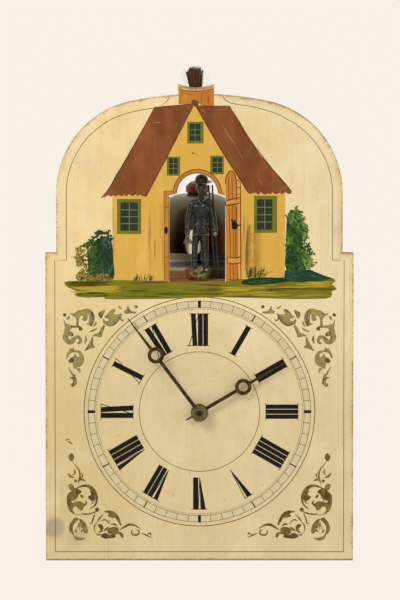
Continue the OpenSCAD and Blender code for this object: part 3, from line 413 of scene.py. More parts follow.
def sawn(name, loops, thick, rear, ease=0.0):
    """Plate cut from flat outlines, holes among them, upright in the frame with its rear face at a depth."""
    bpy.ops.object.select_all(action="DESELECT")
    drawn = bpy.data.curves.new(name, "CURVE")
    drawn.dimensions, drawn.fill_mode, drawn.extrude = "2D", "BOTH", (thick / 2 - ease) * MM
    drawn.bevel_depth, drawn.offset, drawn.bevel_resolution = ease * MM, -ease * MM, 1
    for loop in loops:
        line = drawn.splines.new("POLY")
        line.points.add(len(loop) - 1)
        for point, (x, z) in zip(line.points, loop):
            point.co = (x * MM, z * MM + FOOT, 0, 1)
        line.use_cyclic_u = True
    piece = bpy.data.objects.new(name, drawn)
    scene.collection.objects.link(piece)
    piece.select_set(True)
    bpy.context.view_layer.objects.active = piece
    bpy.ops.object.convert(target="MESH")
    piece = bpy.context.active_object
    piece.rotation_euler = (math.pi / 2, 0, 0)
    piece.location = (0, rear - thick * MM / 2, 0)
    bpy.ops.object.transform_apply(location=True, rotation=True)
    bpy.ops.object.mode_set(mode="EDIT")
    bpy.ops.mesh.select_all(action="SELECT")
    bpy.ops.mesh.remove_doubles(threshold=1e-6)
    bpy.ops.mesh.normals_make_consistent(inside=False)
    bpy.ops.mesh.select_all(action="DESELECT")
    bpy.ops.object.mode_set(mode="OBJECT")
    return piece


THICK, EASE, STUD_HOLE_R, SOILED, GRID = 13, 0.6, 6.5, 11.0, 8
stud_hole = arc(0, DIAL, STUD_HOLE_R, 0, 348.75, 31)
shield = sawn("painted_shield", [shield_edge, door_edge, stud_hole], THICK, FACE + THICK * MM, EASE)


def from_edge(x, z):
    """Distance of a point from the sawn edge of the shield."""
    least = 1e9
    for (ax, az), (bx, bz) in zip(shield_edge, shield_edge[1:] + shield_edge[:1]):
        dx, dz = bx - ax, bz - az
        t = max(0.0, min(1.0, ((x - ax) * dx + (z - az) * dz) / (dx * dx + dz * dz)))
        least = min(least, math.hypot(x - ax - t * dx, z - az - t * dz))
    return least


cut = bmesh.new()
cut.from_mesh(shield.data)
cuts = [((x, 0, 0), (1, 0, 0)) for x in [-134, 126, 134] + list(range(-126, 123, GRID))]
cuts += [((0, 0, z + FOOT / MM), (0, 0, 1)) for z in range(3, 404, GRID)]
for spot, across in cuts:
    everything = cut.verts[:] + cut.edges[:] + cut.faces[:]
    bmesh.ops.bisect_plane(cut, geom=everything, plane_co=Vector(spot) * MM, plane_no=across, dist=1e-7)
soil_layer = cut.verts.layers.float.new("soil")
for vert in cut.verts:
    vert[soil_layer] = max(0.0, 1.0 - from_edge(vert.co.x / MM, (vert.co.z - FOOT) / MM) / SOILED)
cut.to_mesh(shield.data)
cut.free()
bpy.context.view_layer.objects.active = shield
bpy.ops.object.shade_smooth_by_angle(angle=math.radians(40))


def layer(place, name):
    """Number that the mesh carries at each of its points."""
    return place.node("Attribute", {}, {"attribute_name": name}, 2)


def distance(place, spot):
    """How far a place lies from a spot."""
    return place.node("VectorMath", {0: place, 1: spot}, {"operation": "DISTANCE"}, 1)


BLOT, PALE_BLOT = (-132.5 * MM, FACE, FOOT + 30.5 * MM), (-112 * MM, FACE, FOOT + 22 * MM)
CRACK_X, CRACK_LOW, CRACK_HIGH = -83.2 * MM, FOOT + 6 * MM, FOOT + 50 * MM
ground, sockets, place = finish("cream_ground", Coat_Roughness=0.35)
across, height = axes(place)[::2]
soil = layer(place, "soil")
cloud = noise(place, 9, detail=6.0, rough=0.62)
patch = noise(place, 26, (1, 1, 0.55), 5.0, 0.6)
streak = noise(place, 620, (1, 1, 0.02), 4.0, 0.65)
speck = noise(place, 420, detail=2.0, rough=0.5)
blotch = noise(place, 60, (1, 1, 0.7), 6.0, 0.7)
scrub = noise(place, 150, (1, 1, 0.3), 5.0, 0.7, (0, 0.7, 0))
spot = noise(place, 150, detail=3.0, rough=0.6)
cells = place.node("TexVoronoi", {"Vector": place, "Scale": 150, "Randomness": 1.0},
                   {"feature": "DISTANCE_TO_EDGE"})
# Painted light: the ground is painted paler toward the right and yellower toward the left, against the
# stronger light from the left.
side = step(across, -NECK * MM, NECK * MM)
low, high = mix(side, ink("e1cf9c"), ink("e4d5aa")), mix(side, ink("f7e1a8"), ink("faeac0"))
dial_light = step(distance(place, (0, FACE, FOOT + DIAL * MM)) + (cloud - 0.5) * 0.09, 0.03, 0.1, 1.0, 0.0)
# Painted shadow: a dark line along the foot of the board.
foot_shadow = step(height + (blotch - 0.5) * 0.004, FOOT + 0.8 * MM, FOOT + 2.2 * MM, 0.7, 0.0)
edge_soil = step(soil + (cloud - 0.5) * 1.3 + (blotch - 0.5) * 1.0, 0.6, 1.2)
blot = distance(place, BLOT) + (patch - 0.5) * 0.012
pale_blot = distance(place, PALE_BLOT) + (patch - 0.5) * 0.02
crack = abs(across - CRACK_X + (noise(place, 60, (0, 0, 1), 2.0) - 0.5) * 0.004)
crack = step(crack, 0.00012, 0.0004, 1.0, 0.0) * step(height, CRACK_LOW, CRACK_HIGH, 1.0, 0.0)
colour = coats(mix(step(height, -0.16, 0.02), low, high), (dial_light * 0.75, "e9dbb0"),
               (step(cloud, 0.4, 0.72) * 0.5, "dcc488"), (step(blotch, 0.5, 0.72) * 0.32, "c9ba8c"),
               (step(patch, 0.5, 0.72) * 0.5, "f8ebc6"), (step(scrub, 0.52, 0.74) * 0.22, "fbf2d4"),
               (step(scrub, 0.26, 0.46, 0.16, 0.0), "bfae80"), (step(streak, 0.5, 0.74) * 0.18, "c8ae70"),
               (foot_shadow, "5e4a2a"), (edge_soil * 0.5, "c2a56c"),
               (step(soil + (blotch - 0.5) * 1.2, 1.0, 1.16) * 0.45, "80643c"),
               (step(soil + (speck - 0.5) * 0.5 + (blotch - 0.5) * 0.5, 0.88, 1.02) * 0.55, "7a633c"),
               (step(speck, 0.71, 0.76) * 0.5, "6a5230"), (step(spot, 0.7, 0.73) * 0.5, "8a7040"),
               (step(cells, 0.0, 0.03, 1.0, 0.0) * step(cloud, 0.5, 0.75) * 0.1, "9c8250"),
               (step(blot, 0.006, 0.0125, 0.75, 0.0), "ab9b8a"),
               (step(pale_blot, 0.004, 0.0145, 0.45, 0.0), "b6a48c"), (crack * 0.35, "5a4426"))
lay(sockets, Base_Color=colour, Roughness=0.46 + 0.25 * (cloud - 0.5) + 0.15 * edge_soil,
    Coat_Weight=0.12 + 0.1 * (patch - 0.5),
    Normal=bump(streak * 0.5 + patch * 0.5 + step(cells, 0.0, 0.05) * 0.25, 0.22, 0.0005))
shield.data.materials.clear()
shield.data.materials.append(ground)
shield.data.materials.append(softwood_z)
for face in shield.data.polygons:
    up = face.center.z - FOOT
    in_doorway = abs(face.center.x - door_x * MM) < 25 * MM and 250 * MM < up < 335 * MM
    face.material_index = 1 if face.normal.y > 0.7 or (in_doorway and abs(face.normal.y) < 0.95) else 0
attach(shield, "case")
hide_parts("shield_board")

# Border line: one dark olive stroke of a lining brush, a finger's width inside the edge, which breaks off in
# a small hook on each side of the chimney.


def lined(points, closed=False, steps=5):
    """Smooth stroke through points with widths: pairs of points on its right and left edge."""
    ends = points if closed else [points[0]] + points + [points[-1]]
    path = []
    count = len(points) if closed else len(points) - 1
    for i in range(count):
        if closed:
            p = [points[(i + k - 1) % count] for k in range(4)]
        else:
            p = ends[i:i + 4]
        for k in range(steps):
            t = k / steps
            path.append([0.5 * (2 * b + (c - a) * t + (2 * a - 5 * b + 4 * c - d) * t * t
                                + (3 * b - a - 3 * c + d) * t ** 3) for a, b, c, d in zip(*p)])
    if not closed:
        path.append(list(points[-1]))
    return edges_of(path, closed)


def edges_of(path, closed=False):
    """Right and left edge of a path of points with widths."""
    pairs = []
    for i, (x, z, w) in enumerate(path):
        before = path[i - 1] if i or closed else path[0]
        after = path[(i + 1) % len(path)] if i + 1 < len(path) or closed else path[-1]
        dx, dz = after[0] - before[0], after[1] - before[1]
        size = math.hypot(dx, dz) or 1.0
        dx, dz = dx / size * w / 2, dz / size * w / 2
        pairs.append(((x + dz, z - dx), (x - dz, z + dx)))
    return pairs + pairs[:1] if closed else pairs


SUNK = 0.03


def painted(name, shapes, made, lift, rise=0.0):
    """Flat plates of paint on the shield. A shape is a tone with an outline, or with the edge pairs of a
    stroke. Each lies a little higher than the one before it."""
    verts, faces, tones = [], [], []
    for number, (tone, shape) in enumerate(shapes):
        front, rear, first = FACE - (lift + rise * number) * MM, FACE + SUNK * MM, len(verts)
        if isinstance(shape[0][0], tuple):
            ring = shape[0] == shape[-1]
            pairs = shape[:-1] if ring else shape
            size = len(pairs)
            loop = [p[0] for p in pairs] + [p[1] for p in reversed(pairs)]
            quads = [(i, i + 1, 2 * size - 2 - i, 2 * size - 1 - i) for i in range(size - 1)]
            rims = [(i, i + 1) for i in range(size - 1)] + [(i, i + 1) for i in range(size, 2 * size - 1)]
            if ring:
                quads.append((size - 1, 0, 2 * size - 1, size))
                rims += [(size - 1, 0), (2 * size - 1, size)]
            else:
                rims += [(size - 1, size), (2 * size - 1, 0)]
        else:
            area = sum(a[0] * b[1] - b[0] * a[1] for a, b in zip(shape, shape[1:] + shape[:1]))
            loop = list(shape) if area > 0 else list(reversed(shape))
            quads = [tuple(range(len(loop)))]
            rims = [(i, (i + 1) % len(loop)) for i in range(len(loop))]
        total = len(loop)
        for y in (front, rear):
            verts += [(x * MM, y, z * MM + FOOT) for x, z in loop]
        faces += [tuple(first + i for i in quad) for quad in quads]
        faces += [tuple(first + total + i for i in reversed(quad)) for quad in quads]
        faces += [(first + a, first + total + a, first + total + b, first + b) for a, b in rims]
        tones += [tone] * (2 * total)
    sheet = bpy.data.meshes.new(name)
    sheet.from_pydata(verts, [], faces)
    sheet.attributes.new("tone", "FLOAT", "POINT").data.foreach_set("value", tones)
    sheet.materials.append(made)
    piece = bpy.data.objects.new(name, sheet)
    scene.collection.objects.link(piece)
    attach(piece, "case")
    return piece


def oil(name, dark, main, light, stroke=(1, 1, 0.12), turn=0.0, wear=0.25, under="dcc894", scale=150,
        rough=0.42, broken=0.7):
    """Oil paint laid on in strokes: the tone of each shape, brush marks, specks and small worn spots."""
    made, sockets, place = finish(name, Specular_IOR_Level=0.15)
    tone = layer(place, "tone")
    marks = noise(place, scale, stroke, 4.0, 0.6, (0, math.radians(turn), 0))
    cloud = noise(place, 34, detail=5.0, rough=0.62)
    speck = noise(place, 700, detail=2.0, rough=0.55)
    level = tone + (marks - 0.5) * broken + (cloud - 0.5) * 0.5
    worn = step(noise(place, 300, detail=6.0, rough=0.72), 0.66, 0.72) * wear
    colour = coats(mix(step(level, 0.0, 0.5), ink(dark), ink(main)), (step(level, 0.5, 1.0), light),
                   (step(speck, 0.66, 0.72) * 0.5, dark), (worn, under))
    lay(sockets, Base_Color=colour, Roughness=rough + 0.2 * (cloud - 0.5) + 0.15 * (marks - 0.5),
        Normal=bump(marks + speck * 0.2, 0.3, 0.0003))
    return made


lining = oil("olive_lining", "3a3a26", "56583c", "7a7a58", wear=0.5, rough=0.5)
LINE, INSET = 0.55, 9.2
LINE_HALF, LINE_NECK, LINE_LOW, LINE_HIGH = 131.4, 121.0, 8.2, 275.4
right_line, left_line = arc(*ARCH_SIDE, SIDE_R - INSET, 0, 62, 20), arch_line(INSET, -29.0, 23.5)[1]
hook_right = [(21.3, 424.2), (23.5, 420.8), (28.9, 418.1), (36.4, 416.9), (45.6, 415.6), (56.5, 413),
              (66.9, 409.9), (74.8, 406.5)]
hook_left = [(-26.9, 423.6), (-29.3, 419.8), (-34.8, 416.3)]
neck_end = LINE_NECK - 0.2
runs = [[(-LINE_HALF, LINE_LOW), (LINE_HALF, LINE_LOW)],
        [(LINE_HALF, LINE_LOW), (LINE_HALF, LINE_HIGH), (LINE_NECK, LINE_HIGH)],
        [(neck_end, LINE_HIGH)] + right_line + hook_right[::-1],
        hook_left + left_line + [(-neck_end, LINE_HIGH)],
        [(-LINE_NECK, LINE_HIGH), (-LINE_HALF, LINE_HIGH), (-LINE_HALF, LINE_LOW)]]
painted("border_line", [(0.5, edges_of([(x, z, LINE) for x, z in run])) for run in runs], lining, 0.05)

# Dial: circles drawn with a pair of compasses, a minute track, and Roman figures painted in black with flat
# bars and hairline ends, their feet to the middle.
black = oil("figure_black", "0a0805", "15120c", "2b281f", wear=0.12, scale=260, rough=0.6)
track_paint = oil("track_lines", "3c3424", "54492f", "7d7050", wear=0.45, rough=0.5)


def hoop(r, width, count=180):
    """Circle on the dial."""
    return edges_of([(x, z + DIAL, width) for x, z in arc(0, 0, r, 0, 360 - 360 / count, count - 1)], True)


def on_dial(minute, across, out):
    """Point on the dial, clockwise across and outwards from a minute's line."""
    a = math.radians(6 * minute)
    return (out * math.sin(a) + across * math.cos(a), out * math.cos(a) - across * math.sin(a) + DIAL)


def bar(minute, low, high):
    """Four sided bar on the dial: two points across at a low radius, two at a high one."""
    (r0, a0, b0), (r1, a1, b1) = low, high
    return [on_dial(minute, a0, r0), on_dial(minute, b0, r0), on_dial(minute, b1, r1),
            on_dial(minute, a1, r1)]


RIM_R, TRACK_OUT, TRACK_IN, FIELD_R = 105.0, 101.3, 95.4, 54.8
INNER_SHADE, TRACK_SHADE = (93.9, 1.1), (98.4, 5.0)
rings = [(0.4, hoop(RIM_R, 0.65)), (0.65, hoop(TRACK_OUT, 0.42)), (0.6, hoop(TRACK_IN, 0.42)),
         (0.55, hoop(FIELD_R, 0.5))]
painted("dial_circles", rings, track_paint, 0.05)
pale_track = oil("track_shade", "cbbe94", "ddd0a8", "ece2c2", (1, 1, 1), 0, 0.5, "e6dab4", 120)
painted("track_shade", [(0.0, hoop(*INNER_SHADE)), (0.6, hoop(*TRACK_SHADE))], pale_track, 0.03)
ticks, blocks = [], []
for minute in range(60):
    kept, tone, half, more = ticks, 0.5, 0.24, 0.0
    if minute % 15 == 0:
        kept, tone, half, more = blocks, 0.4, 1.35, 0.4
    elif minute % 5 == 0:
        tone, half, more = 0.2, 0.58, 0.5
    kept.append((tone, bar(minute, (TRACK_IN - more, -half, half), (TRACK_OUT + more, -half, half))))
painted("minute_ticks", ticks, track_paint, 0.07)

FOOT_R, HEAD_R = 60.4, 89.7
HAIR, SLIT, SERIF, SERIF_HALF, LEAN, CROSS, STEM = 0.65, 0.55, 1.7, 0.25, 1.6, 3.1, 4.7
V_GAP, NIB, FOOT_BAR = 0.9, 0.3, 3.2
STEMS = {"II": 3.9, "III": 4.0, "IIII": 3.9, "XII": 4.3, "VII": 4.1, "VIII": 4.3}


def sign(letter, minute, left, stem):
    """The strokes of one letter of a Roman figure, from its left side."""
    if letter == "I":
        return [bar(minute, (FOOT_R, left, left + stem), (HEAD_R, left, left + stem))]
    if letter == "V":
        point = left + stem + V_GAP
        thin = point + V_GAP
        return [bar(minute, (FOOT_R, point - NIB, point + NIB), (HEAD_R, left, left + stem)),
                bar(minute, (FOOT_R, point - NIB, point + 0.2), (HEAD_R, thin, thin + HAIR))]
    low, right, foot = left - CROSS + 1.2, left + stem + CROSS, left - CROSS - 0.2
    return [bar(minute, (FOOT_R, left + LEAN, left + LEAN + stem), (HEAD_R, left, left + stem)),
            bar(minute, (FOOT_R, low, low + HAIR), (HEAD_R, right - HAIR, right)),
            bar(minute, (FOOT_R - HAIR / 2, foot, foot + FOOT_BAR),
                (FOOT_R + HAIR / 2, foot, foot + FOOT_BAR))]


figures = []
for hour, letters in enumerate("I II III IIII V VI VII VIII IX X XI XII".split(), 1):
    minute, stem = 5 * hour, STEMS.get(letters, STEM)
    widths = {"I": stem, "V": stem + LEAN, "X": stem + LEAN}
    total = sum(widths[letter] + SLIT for letter in letters) - SLIT
    left = -total / 2
    for letter in letters:
        figures += [(0.4, stroke) for stroke in sign(letter, minute, left, stem)]
        left += widths[letter] + SLIT
    end = total / 2 + SERIF
    for r in (FOOT_R, HEAD_R):
        if "V" not in letters or r == HEAD_R:
            serif = bar(minute, (r - SERIF_HALF, -end, end), (r + SERIF_HALF, -end, end))
            figures.append((0.45, serif))
painted("dial_figures", blocks + figures, black, 0.08, 0.0006)

# Corner scrolls: leaf and shell work in thin washes, olive above and brown below, each lobe one pull of a
# loaded brush with the colour gathered at its rim. The right corners mirror the left ones, but only the
# lower left one has the two small strokes above it.
WASH = {"stroke": (1, 1, 0.5), "turn": 35, "wear": 0.6, "scale": 380, "rough": 0.55, "broken": 1.9}
olive_wash = oil("olive_wash", "5e5030", "9a8b60", "a59c52", **WASH)
brown_wash = oil("brown_wash", "54431c", "846f38", "ad9c64", **WASH)
UPPER_MASSES = [
    (0.55, [(-117.5, 226.9), (-114.6, 226.2), (-112.1, 227.7), (-110, 229.3), (-108, 229.3), (-104.2, 230.6),
            (-100.5, 230.8), (-97.2, 228.1), (-95.5, 223.9), (-95.9, 219.4), (-98, 215.1), (-100.5, 216.2),
            (-103, 217.3), (-100.5, 218.1), (-100.1, 221.9), (-100.5, 226), (-102.4, 227.7), (-101.7, 224.8),
            (-102.2, 221.5), (-104.2, 219.8), (-106.7, 221.5), (-105.2, 223.1), (-106.9, 225),
            (-109.2, 223.1), (-109.9, 219.4), (-110, 216.1), (-111.9, 216.1), (-111.7, 220.2), (-113, 223.5),
            (-115.4, 225.2)]),
    (0.95, [(-110.9, 226.7), (-107.6, 228.5), (-103.4, 228.7), (-101.1, 226.9), (-103, 224.8),
            (-105.9, 225.6), (-108.4, 225.2), (-110.2, 223.5), (-111.3, 224.8)]),
    (0.3, [(-99.4, 229.2), (-96.9, 227.3), (-95.5, 223.5), (-96.1, 219), (-98.3, 215.2), (-99.4, 216.2),
           (-98, 219.4), (-97.6, 223.5), (-98.3, 226.7)]),
    (0.5, [(-123.3, 221), (-121.7, 217.7), (-119.2, 216.5), (-115, 215.4), (-110, 215.4), (-108, 214.4),
           (-109.9, 213.6), (-113.8, 214), (-116.7, 213.2), (-117.9, 210.7), (-115.9, 209.4), (-114.4, 207.3),
           (-115.9, 205.7), (-118.8, 206.5), (-119.2, 204), (-117.5, 201.9), (-115.4, 202.8), (-113.8, 205.7),
           (-110.9, 206.5), (-108, 205.3), (-106.9, 202.4), (-107.6, 199.9), (-109.9, 198.6), (-111, 199.9),
           (-109.2, 201.1), (-109.6, 203.2), (-111.7, 204), (-113, 201.9), (-114.6, 199.5), (-117.5, 198.5),
           (-120.8, 199.5), (-123.3, 202.4), (-124.2, 205.3), (-122.9, 209.4), (-122.5, 212.7),
           (-122.3, 216.1)]),
    (0.22, [(-119.2, 209), (-117.1, 209.6), (-115, 208.2), (-115.4, 206.3), (-117.9, 206.5)]),
    (0.45, [(-86, 216.5), (-86.8, 212.7), (-88.5, 208.6), (-89.3, 205.3), (-91.8, 205.3), (-94.3, 206.1),
            (-97.2, 205.7), (-94.7, 207.8), (-90.9, 209.4), (-89.3, 213.2)]),
    (0.38, [(-97.6, 205.3), (-96.6, 201.9), (-97, 198.2), (-95.1, 195.9), (-97.6, 195.1), (-100.5, 194.3),
            (-104.2, 192.6), (-102.6, 195.3), (-100.9, 198.2), (-98.8, 201.9)]),
    (0.3, [(-90.9, 227.7), (-86, 229.8), (-87.5, 226), (-89.3, 222.3), (-91.1, 223.9), (-91.6, 226)]),
    (0.5, [(-86.4, 223.9), (-84.3, 224.8), (-82.6, 227.3), (-79.3, 230.2), (-76.7, 230.2), (-77.2, 228.1),
           (-78.5, 226), (-73.5, 225.6), (-70.2, 226.7), (-72.3, 223.9), (-73.5, 221), (-75.6, 217.7),
           (-78.5, 215.9), (-81.8, 215.6), (-85.1, 216.9), (-87.2, 218.1), (-87.6, 221.9), (-86, 220),
           (-83.1, 219.5), (-82, 221.9), (-84.3, 222.3)]),
    (0.97, [(-82.6, 224.8), (-78.5, 228.5), (-78.7, 225.6), (-75, 224.8), (-76.8, 221), (-80.1, 219.4),
            (-81.4, 220.6), (-80.1, 223.1)]),
    (0.45, [(-65.2, 233.5), (-64, 231.4), (-62.3, 228.9), (-57.7, 228), (-58.6, 226.9), (-63.5, 226.9),
            (-67.7, 226.9), (-68.1, 228.9), (-66, 230.2)]),
    (0.6, [(-120.8, 185.3), (-120.4, 189.5), (-118.3, 192.8), (-117.1, 194.9), (-115.9, 193.6),
           (-112.5, 192.8), (-108.4, 192), (-105.5, 187.8), (-105.2, 182.8), (-107.6, 179.1), (-111.3, 177.4),
           (-113.8, 176.2), (-114.6, 178.7), (-115.4, 182), (-117.7, 181.6), (-119, 183.3), (-117.1, 185.7),
           (-114.6, 187), (-113, 189.5), (-111.7, 187.4), (-109.9, 186.6), (-108.8, 188.7), (-110.5, 190.7),
           (-114.6, 191.6), (-117.9, 189.9), (-119.6, 187.4)]),
    (0.15, [(-119, 183.5), (-116.7, 185.6), (-114.2, 184.9), (-115.4, 182.2), (-117.8, 181.5)]),
    (0.3, [(-118.3, 167.9), (-115, 168.7), (-113.8, 171.2), (-112.7, 167.9), (-111.7, 162.9), (-113.8, 160.8),
           (-115.9, 159.6), (-116.9, 161.7), (-115, 163.3), (-115.4, 166.6)]),
]
UPPER_STROKES = [
    (0.4, [(-120.7, 220.9, 0.33), (-119.3, 222.5, 2.16), (-118.1, 224.5, 0.33)]),
    (0.35, [(-94.1, 219.8, 0.33), (-94.6, 216.9, 1.66), (-96.8, 214.6, 0.33)]),
    (0.35, [(-92.6, 213.7, 0.33), (-95.9, 211.5, 1.49), (-100.4, 210, 0.33)]),
    (0.35, [(-103.8, 206.5, 0.33), (-103.3, 202.8, 1.99), (-104.6, 198.6, 0.33)]),
    (0.15, [(-86.8, 218, 0.33), (-82.6, 215.9, 1.08), (-77.7, 216.5, 1.08), (-73.3, 221, 1),
            (-70.4, 226.2, 0.33)]),
    (0.35, [(-70.6, 226.4, 0.5), (-71.7, 223.9, 1.08), (-71.3, 221.3, 1.16), (-69.5, 220, 1.08),
            (-68.4, 221.9, 0.42)]),
    (0.35, [(-74.2, 233.7, 0.33), (-72.2, 232, 1.49), (-70, 230.8, 0.33)]),
    (0.3, [(-114.4, 195.6, 0.33), (-115, 194.1, 1.16), (-116.2, 192.5, 0.33)]),
    (0.35, [(-119.3, 177.7, 0.33), (-116.3, 172.2, 1.49), (-113.7, 168.6, 0.66)]),
    (0.6, [(-112.1, 176.4, 0.5), (-109.5, 175.2, 2.33), (-108.7, 172.4, 0.5)]),
    (0.2, [(-117.5, 202.8, 0.33), (-115.9, 203.4, 1.08), (-114, 205.3, 0.33)]),
]
UPPER_BEADS = [(0.05, (-122.5, 225.4, 1.58)), (0.05, (-108, 212.7, 1.74)), (0.15, (-57.7, 232.8, 1.58))]
LOWER_MASSES = [
    (0.25, [(-118.8, 96.1), (-116.6, 98.4), (-114.7, 96.6), (-114.5, 93.8), (-116.6, 91.5), (-118.7, 93.4)]),
    (0.5, [(-119.3, 69.2), (-117, 70.5), (-114.7, 68.2), (-114.3, 65.5), (-116.6, 64.6), (-118.4, 66)]),
    (0.15, [(-100.1, 64.6), (-96.9, 61.8), (-94.9, 58.2), (-96, 55), (-98.7, 55.4), (-101.5, 58.6),
            (-98.3, 60.5)]),
    (0.3, [(-112.9, 66.4), (-108.8, 64.6), (-107.7, 62.8), (-110.2, 60.9), (-111.1, 58.6), (-113.4, 57.3),
           (-115.6, 55), (-117.9, 56.4), (-116.6, 52.7), (-119.8, 50), (-120.7, 55.4), (-120.2, 60),
           (-117.9, 62.8), (-115.2, 64.6)]),
    (0.5, [(-119.8, 50), (-116.6, 52.7), (-113.4, 53.6), (-108.8, 54.5), (-105.6, 52.7), (-104.2, 51.8),
           (-106.2, 48.6), (-107, 46.3), (-109.7, 47.2), (-112, 50), (-114.7, 49.1), (-115.9, 46.3),
           (-114.1, 43.6), (-117, 44.5), (-118.8, 46.8)]),
    (0.4, [(-113.4, 39.5), (-110.2, 38.1), (-112, 36.3), (-115, 33.1), (-115.9, 29), (-114.7, 23.9),
           (-117.8, 26.2), (-118.8, 29.9), (-117.5, 34.4), (-115.2, 37.6)]),
    (0.45, [(-109.3, 38.5), (-105.1, 35.4), (-102.6, 30.8), (-102.2, 25.8), (-104.7, 25.3), (-106.1, 29),
            (-107.4, 31.7), (-108.8, 35.4)]),
    (0.3, [(-86.9, 44.9), (-81.8, 45.9), (-76.8, 44), (-73.2, 39), (-71.3, 32.4), (-73.2, 34.4),
           (-76.8, 39.7), (-79.6, 39.9), (-83.2, 40.8), (-82.3, 43.6)]),
    (0.25, [(-92.8, 32.6), (-89.6, 33.1), (-87.8, 30.8), (-88.7, 27.1), (-92.4, 25.3), (-90.1, 28.5)]),
    (0.35, [(-82.8, 29.4), (-77.7, 30.8), (-74.1, 29.4), (-74.5, 25.8), (-77.7, 23.5), (-81.8, 24.4),
            (-83.7, 26.7)]),
    (0.15, [(-90.1, 22.6), (-86, 25.3), (-82.3, 23.5), (-76.8, 23), (-77.7, 21.2), (-82.3, 20.7),
            (-86, 20.3)]),
    (0.4, [(-75.9, 25.3), (-71.3, 25.8), (-69.3, 22.6), (-70.9, 21.2), (-72.7, 23.9)]),
]
LOWER_STROKES = [
    (0.4, [(-116.1, 91.5, 0.27), (-112.9, 87.4, 0.73), (-109.7, 82.9, 1.28), (-108.8, 78.3, 1.37),
           (-109.7, 73.7, 1.1), (-110.8, 69.9, 0.37)]),
    (0.4, [(-119.9, 80.8, 0.37), (-117.5, 77.4, 2.01), (-113.6, 76.5, 0.37)]),
    (0.45, [(-114.5, 84, 0.37), (-113.4, 81, 1.46), (-115.4, 78.5, 0.37)]),
    (0.35, [(-111.1, 72.6, 0.37), (-107.7, 74.6, 1.83), (-104, 73.2, 0.55)]),
    (0.45, [(-107.7, 80.8, 0.37), (-106.4, 78.3, 1.28), (-108.4, 75.4, 0.37)]),
    (0.3, [(-113.4, 65.7, 0.55), (-107.9, 68.2, 1.46), (-102.4, 68.7, 2.38), (-97.8, 66, 3.11),
           (-94.6, 60.9, 2.74), (-93.7, 55.4, 1.64), (-95.6, 50.4, 1.28), (-100.1, 47.6, 0.46)]),
    (0.2, [(-108.6, 60.7, 0.37), (-107.2, 59.1, 2.19), (-105.7, 57.5, 0.37)]),
    (0.3, [(-104.4, 55.3, 0.37), (-103.1, 52.7, 1.55), (-105.7, 49.8, 0.37)]),
    (0.55, [(-119.3, 48.1, 0.37), (-116.1, 44, 0.64), (-111.5, 42.2, 0.64), (-106.8, 42.1, 0.37)]),
    (0.35, [(-94, 45.2, 0.73), (-99.7, 43.1, 1.28), (-105.6, 42.6, 1.28), (-107.7, 43.8, 0.37)]),
    (0.4, [(-94.9, 43.8, 0.46), (-96.9, 39, 1.19), (-98.2, 34.4, 1), (-100.4, 34.3, 0.37)]),
    (0.5, [(-112.3, 28.8, 0.27), (-109.9, 33.1, 0.91), (-109.7, 27.6, 0.37)]),
    (0.45, [(-87.6, 42.8, 0.37), (-90.9, 39, 1.37), (-93.3, 35.2, 0.55), (-95.8, 30.3, 0.55),
            (-95.1, 26, 0.27)]),
    (0.4, [(-89.8, 36.1, 0.37), (-86, 37.6, 1.19), (-81.8, 33.3, 0.37)]),
    (0.3, [(-73.2, 27.9, 0.46), (-68.6, 30.8, 1.64), (-63.9, 33.1, 2.01), (-58.6, 32.2, 1.37),
           (-53.8, 28.8, 0.46)]),
    (0.4, [(-61.5, 28.2, 0.46), (-61.8, 25.3, 1.28), (-59.3, 23.4, 1.55), (-55.6, 24.4, 1.37),
           (-55.3, 27.1, 1.1), (-58.1, 28.5, 0.37)]),
    (0.4, [(-52.9, 25, 0.46), (-48.5, 23.4, 1.19), (-43.8, 21.1, 0.37)]),
    (0.45, [(-47.8, 23.8, 0.37), (-44.9, 25.3, 1.37), (-44.2, 22.8, 0.37)]),
    (0.75, [(-115.7, 24.4, 0.55), (-112.9, 21.1, 2.38), (-108.8, 19.8, 2.38), (-104, 20.5, 0.55)]),
    (0.55, [(-110.8, 35, 0.37), (-108.6, 33.1, 1.83), (-107.2, 29.4, 0.46)]),
    (0.45, [(-113.9, 28.8, 0.37), (-112.6, 26.9, 1.64), (-112.1, 25.1, 0.37)]),
    (0.5, [(-108.8, 26.2, 0.37), (-106.8, 27.6, 1.64), (-105.1, 30.1, 0.37)]),
    (0.6, [(-95.1, 34.8, 0.27), (-96.2, 29.9, 0.91), (-94.8, 25.3, 0.27)]),
    (0.45, [(-80.8, 33.1, 0.37), (-77.7, 33.5, 1.64), (-74.5, 31.2, 0.37)]),
    (0.35, [(-87.8, 26.7, 0.37), (-85, 29, 1.83), (-82.8, 31.2, 0.37)]),
    (0.5, [(-81.8, 43.1, 0.37), (-80.5, 40.4, 1.28), (-77.7, 39.2, 0.37)]),
    (0.5, [(-89.4, 24.4, 0.37), (-92.4, 23.5, 1.19), (-94.6, 25.3, 0.37)]),
    (0.6, [(-112.9, 53.6, 0.27), (-113.4, 56.4, 0.91), (-111.1, 57.3, 0.27)]),
    (0.6, [(-98.7, 51.8, 0.27), (-96.9, 53.6, 1.1), (-95.6, 55.4, 0.27)]),
]
LOWER_BEADS = [(0.05, (-93.3, 46.8, 1.83)), (0.3, (-112.9, 73.2, 1.37))]
LOWER_EXTRA = [(0.45, [(-122.3, 110.4, 0.37), (-120.3, 111.2, 1.1), (-118.1, 111.7, 0.37)]),
               (0.4, [(-119.9, 109.5, 0.37), (-117.8, 108.4, 1.19), (-115.4, 106.9, 0.37)])]


def smooth(points, steps=3):
    """Closed outline drawn smoothly through points."""
    pairs = lined([(x, z, 0.01) for x, z in points], True, steps)[:-1]
    return [((a[0] + b[0]) / 2, (a[1] + b[1]) / 2) for a, b in pairs]


RIM_DARKER, RIM_W, SWELL = 0.3, 0.4, 1.15


